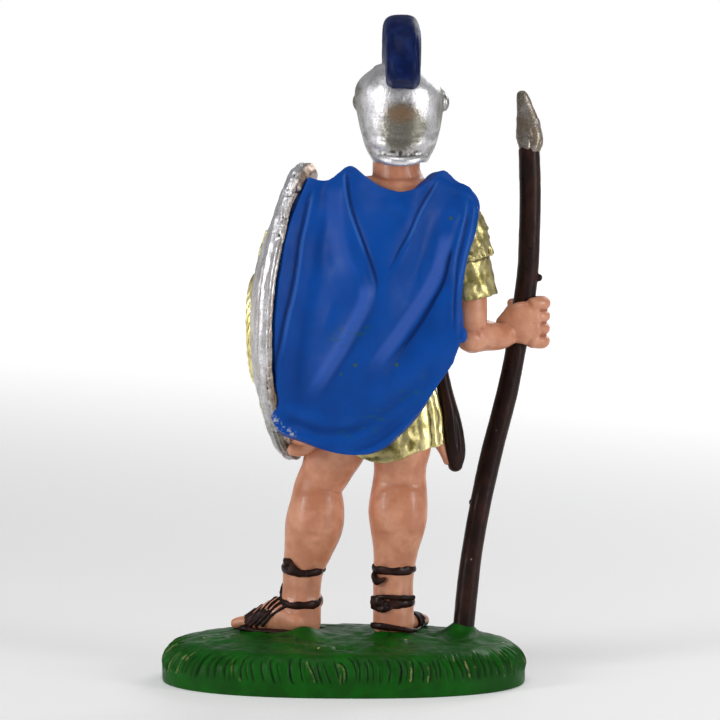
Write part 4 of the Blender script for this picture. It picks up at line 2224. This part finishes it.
def buildBase():
    angles = fullTurn(base["around"])
    # underside, wall, shoulder, crown: each row is share of the outline and height
    rows = [(0.03, 0.0), (0.3, 0.0), (0.7, 0.0), (0.985, 0.0), (0.997, 0.10), (1.0, 0.3)]
    rows += [(1.0, h) for h in np.linspace(0.55, base["wall"], 11)]
    for a in np.linspace(0.03, 1.0, 34):
        share = 1 - 0.2 * (1 - math.cos(a * math.pi / 2))
        rows.append((share, float(baseHeight(np.array(share)))))
    rows += [(share, float(baseHeight(np.array(share)))) for share in np.linspace(0.785, 0.02, 46)]
    points, shares = [], []
    for share, height in rows:
        x, y = baseEdge(angles, share)
        points.append(np.stack([x, y, np.full(len(angles), height)], 1))
        shares.append(np.full(len(angles), share))
    count = len(angles)
    faces = [tuple(range(count))[::-1], tuple(range((len(rows) - 1) * count, len(rows) * count))]
    for level in range(len(rows) - 1):
        for k in range(count):
            j = (k + 1) % count
            faces.append(
                (
                    level * count + k, level * count + j, (level + 1) * count + j,
                    (level + 1) * count + k,
                )
            )
    made = meshObject("grassBase", np.vstack(points), faces)
    shape = readShape(made)
    rng = np.random.RandomState(12)
    tips = np.zeros(len(shape["points"]))
    for k in range(base["blades"]):
        a = 2 * math.pi * (k + rng.uniform(-0.6, 0.6)) / base["blades"]
        long = rng.uniform(0.45, 1.0)
        # blades lean in tufts, some of them to the other side
        lean = 1.5 * math.sin(3.0 * a + 0.6) + rng.uniform(-0.6, 0.6)
        curl = rng.uniform(0.4, 1.6) * (1 if math.sin(5.0 * a + 2.0) > -0.3 else -1)
        high = rng.uniform(-0.06, 0.10)
        line = []
        for t in np.linspace(0, 1, 7):
            angle = a + (lean * (t - 0.5) + curl * (t - 0.5) ** 2 * 2.2) * 0.042
            share = 1.0 - 0.15 * long * max(0.0, t - 0.25 - high) / 0.75
            x, y = baseEdge(np.array(angle), share)
            z = (
                baseHeight(np.array(share)) if share < 1 else base["wall"]
                * (0.62 + 0.38 * t / (0.25 + high))
            )
            line.append((float(x), float(y), float(z)))
        press(shape, line, 0.21, -base["bladeDepth"] * rng.uniform(0.5, 1.2), (0.3, 0.35), steps=3)
        beside = [(p[0] + 0.34 * math.sin(a), p[1] - 0.34 * math.cos(a), p[2]) for p in line]
        press(shape, beside, 0.24, base["bladeDepth"] * rng.uniform(0.2, 0.7), (0.3, 0.35), steps=3)
        if rng.rand() < base["paleTips"]:
            paintLine(
                shape["points"], tips, beside[1:5] if rng.rand() < 0.7 else beside[3:6], 0.13,
                rng.uniform(0.3, 0.9), steps=3, soft=0.9,
            )
    # low soft tufts on the crown
    for k in range(base["tufts"]):
        a, share = rng.uniform(0, 2 * math.pi), math.sqrt(rng.uniform(0.06, 0.64))
        x, y = baseEdge(np.array(a), share)
        way = rng.uniform(-1.2, 1.2)
        length = rng.uniform(2.0, 5.0)
        z = float(baseHeight(np.array(share)))
        press(
            shape,
            [
                (float(x) - length / 2, float(y) + way, z), (float(x), float(y), z + 0.1),
                (float(x) + length / 2, float(y) - way * 0.4, z),
            ],
            0.9, rng.choice((-0.16, 0.18)), steps=3,
        )
    for x, y, reach, height in base["turf"]:
        apart = np.hypot(shape["points"][:, 0] - x, shape["points"][:, 1] - y)
        onTop = shape["normals"][:, 2] > 0.2
        shape["points"][:, 2] += np.where(onTop, height * np.exp(-((apart / reach) ** 2)), 0)
    upper = ease((shape["points"][:, 2] - 2.0) / 1.5)
    crown = ease((np.abs(shape["normals"][:, 2]) - 0.8) / 0.2)
    rough = (
        lumps(shape["points"], 2.6, 71) * 0.15
        + lumps(shape["points"], 1.2, 73) * 0.08 * crown
        + lumps(shape["points"], 0.9, 72) * 0.05 * (1 - crown)
    )
    shape["points"] += (
        shape["normals"]
        * (rough * (0.25 + 0.75 * upper) * (shape["points"][:, 2] > 0.25))[:, None]
    )
    shape["points"][:, 2] = np.maximum(shape["points"][:, 2], 0)
    writeShape(made, shape["points"])
    shape = readShape(made)
    setMask(made, "hollow", hollowness(shape, 8, 0.12))
    setMask(made, "tip", tips)
    points = shape["points"].copy()
    points[:, 2] -= figure["soleLevel"]
    return settle(made, points, paints["grass"])


buildBase()
print("pieces built")

# Pale floor and soft light
room = {
    "floor": 6.0,  # metres
    "floorColour": (0.80, 0.80, 0.80),
    "backdrop": (1.0, 1.0, 1.0),  # glow behind the soldier's front
    "walls": (0.22, 0.22, 0.225),
    "horizon": (0.36, 0.36, 0.365),
    "ownGlow": 0.18,  # all over the floor
    "glowFrom": 0.10,  # where the floor begins to glow, metres in front of the soldier
    "glowTo": 0.9,  # where it has its full glow
    "fullGlow": 0.9,
    "wallRise": 0.35,  # height on the sky where the horizon's tone ends
    "backdropEdge": (-0.988, -0.955),  # from full backdrop to none
}


def buildRoom():
    half = room["floor"] / 2
    floor = meshObject(
        "floor", [(-half, -half, 0), (half, -half, 0), (half, half, 0), (-half, half, 0)],
        [(0, 1, 2, 3)],
    )
    material, paint = startPaint("paleFloor")
    split = paint["tree"].nodes.new("ShaderNodeSeparateXYZ")
    join(paint, paint["where"], split.inputs[0])
    ahead = (-room["glowFrom"], -room["glowTo"])
    glow = spread(paint, split.outputs["Y"], *ahead, room["ownGlow"], room["fullGlow"])
    setShader(paint, Base_Color=room["floorColour"], Roughness=0.6)
    setShader(paint, Emission_Color=(1.0, 1.0, 1.0), Emission_Strength=glow)
    floor.data.materials.append(material)
    world = bpy.data.worlds.new("studio")
    world.use_nodes = True
    studio = {"tree": world.node_tree}
    where = world.node_tree.nodes.new("ShaderNodeTexCoord")
    split = world.node_tree.nodes.new("ShaderNodeSeparateXYZ")
    join(studio, where.outputs["Generated"], split.inputs[0])
    rise = spread(studio, split.outputs["Z"], 0.0, room["wallRise"])
    walls = mixColour(studio, rise, room["horizon"], room["walls"])
    fade = spread(studio, split.outputs["Y"], *room["backdropEdge"])
    sky = mixColour(studio, fade, room["backdrop"], walls)
    join(studio, sky, world.node_tree.nodes["Background"].inputs["Color"])
    bpy.context.scene.world = world
    bpy.context.scene.view_settings.view_transform = "Standard"


# Each lamp: place and aim in metres, size, power
lamps = {
    "leftPanel": ((0.46, 0.26, 0.20), (0, 0, 0.055), (0.14, 0.26), 1.20),
    "rightPanel": ((-0.47, 0.25, 0.18), (0, 0, 0.055), (0.13, 0.26), 1.10),
    "topPanel": ((0.05, 0.16, 0.55), (0, 0, 0.05), (0.26, 0.18), 0.75),
    "frontPanel": ((-0.30, -0.50, 0.35), (0, 0, 0.05), (0.30, 0.30), 1.2),
}


def buildLamps():
    for name, (place, aim, size, power) in lamps.items():
        lamp = bpy.data.lights.new(name, "AREA")
        lamp.shape = "RECTANGLE"
        lamp.size, lamp.size_y = size
        lamp.energy = power
        made = bpy.data.objects.new(name, lamp)
        made.location = place
        made.rotation_euler = (Vector(place) - Vector(aim)).to_track_quat("Z", "Y").to_euler()
        bpy.context.scene.collection.objects.link(made)


# The photograph's view: from behind, a little above
lens = {
    "focal": 148.55, "distance": 0.478, "elevation": 5.0, "roll": 0.3,
    "target": (-0.0024, 0.0, 0.052),
}


def buildCamera():
    rise = math.radians(lens["elevation"])
    back = Vector((0, math.cos(rise), math.sin(rise)))
    camera = bpy.data.cameras.new("photoView")
    camera.lens = lens["focal"]
    camera.sensor_width = 36
    camera.clip_start = 0.01
    made = bpy.data.objects.new("photoView", camera)
    made.location = Vector(lens["target"]) + back * lens["distance"]
    turn = back.to_track_quat("Z", "Y").to_euler()
    made.rotation_euler = (
        turn.to_matrix() @ Euler((0, 0, math.radians(lens["roll"]))).to_matrix()
    ).to_euler()
    bpy.context.scene.collection.objects.link(made)
    bpy.context.scene.camera = made


buildRoom()
buildLamps()
buildCamera()
print("room, lamps and camera set")


bpy.context.view_layer.update()
print("sizes written")
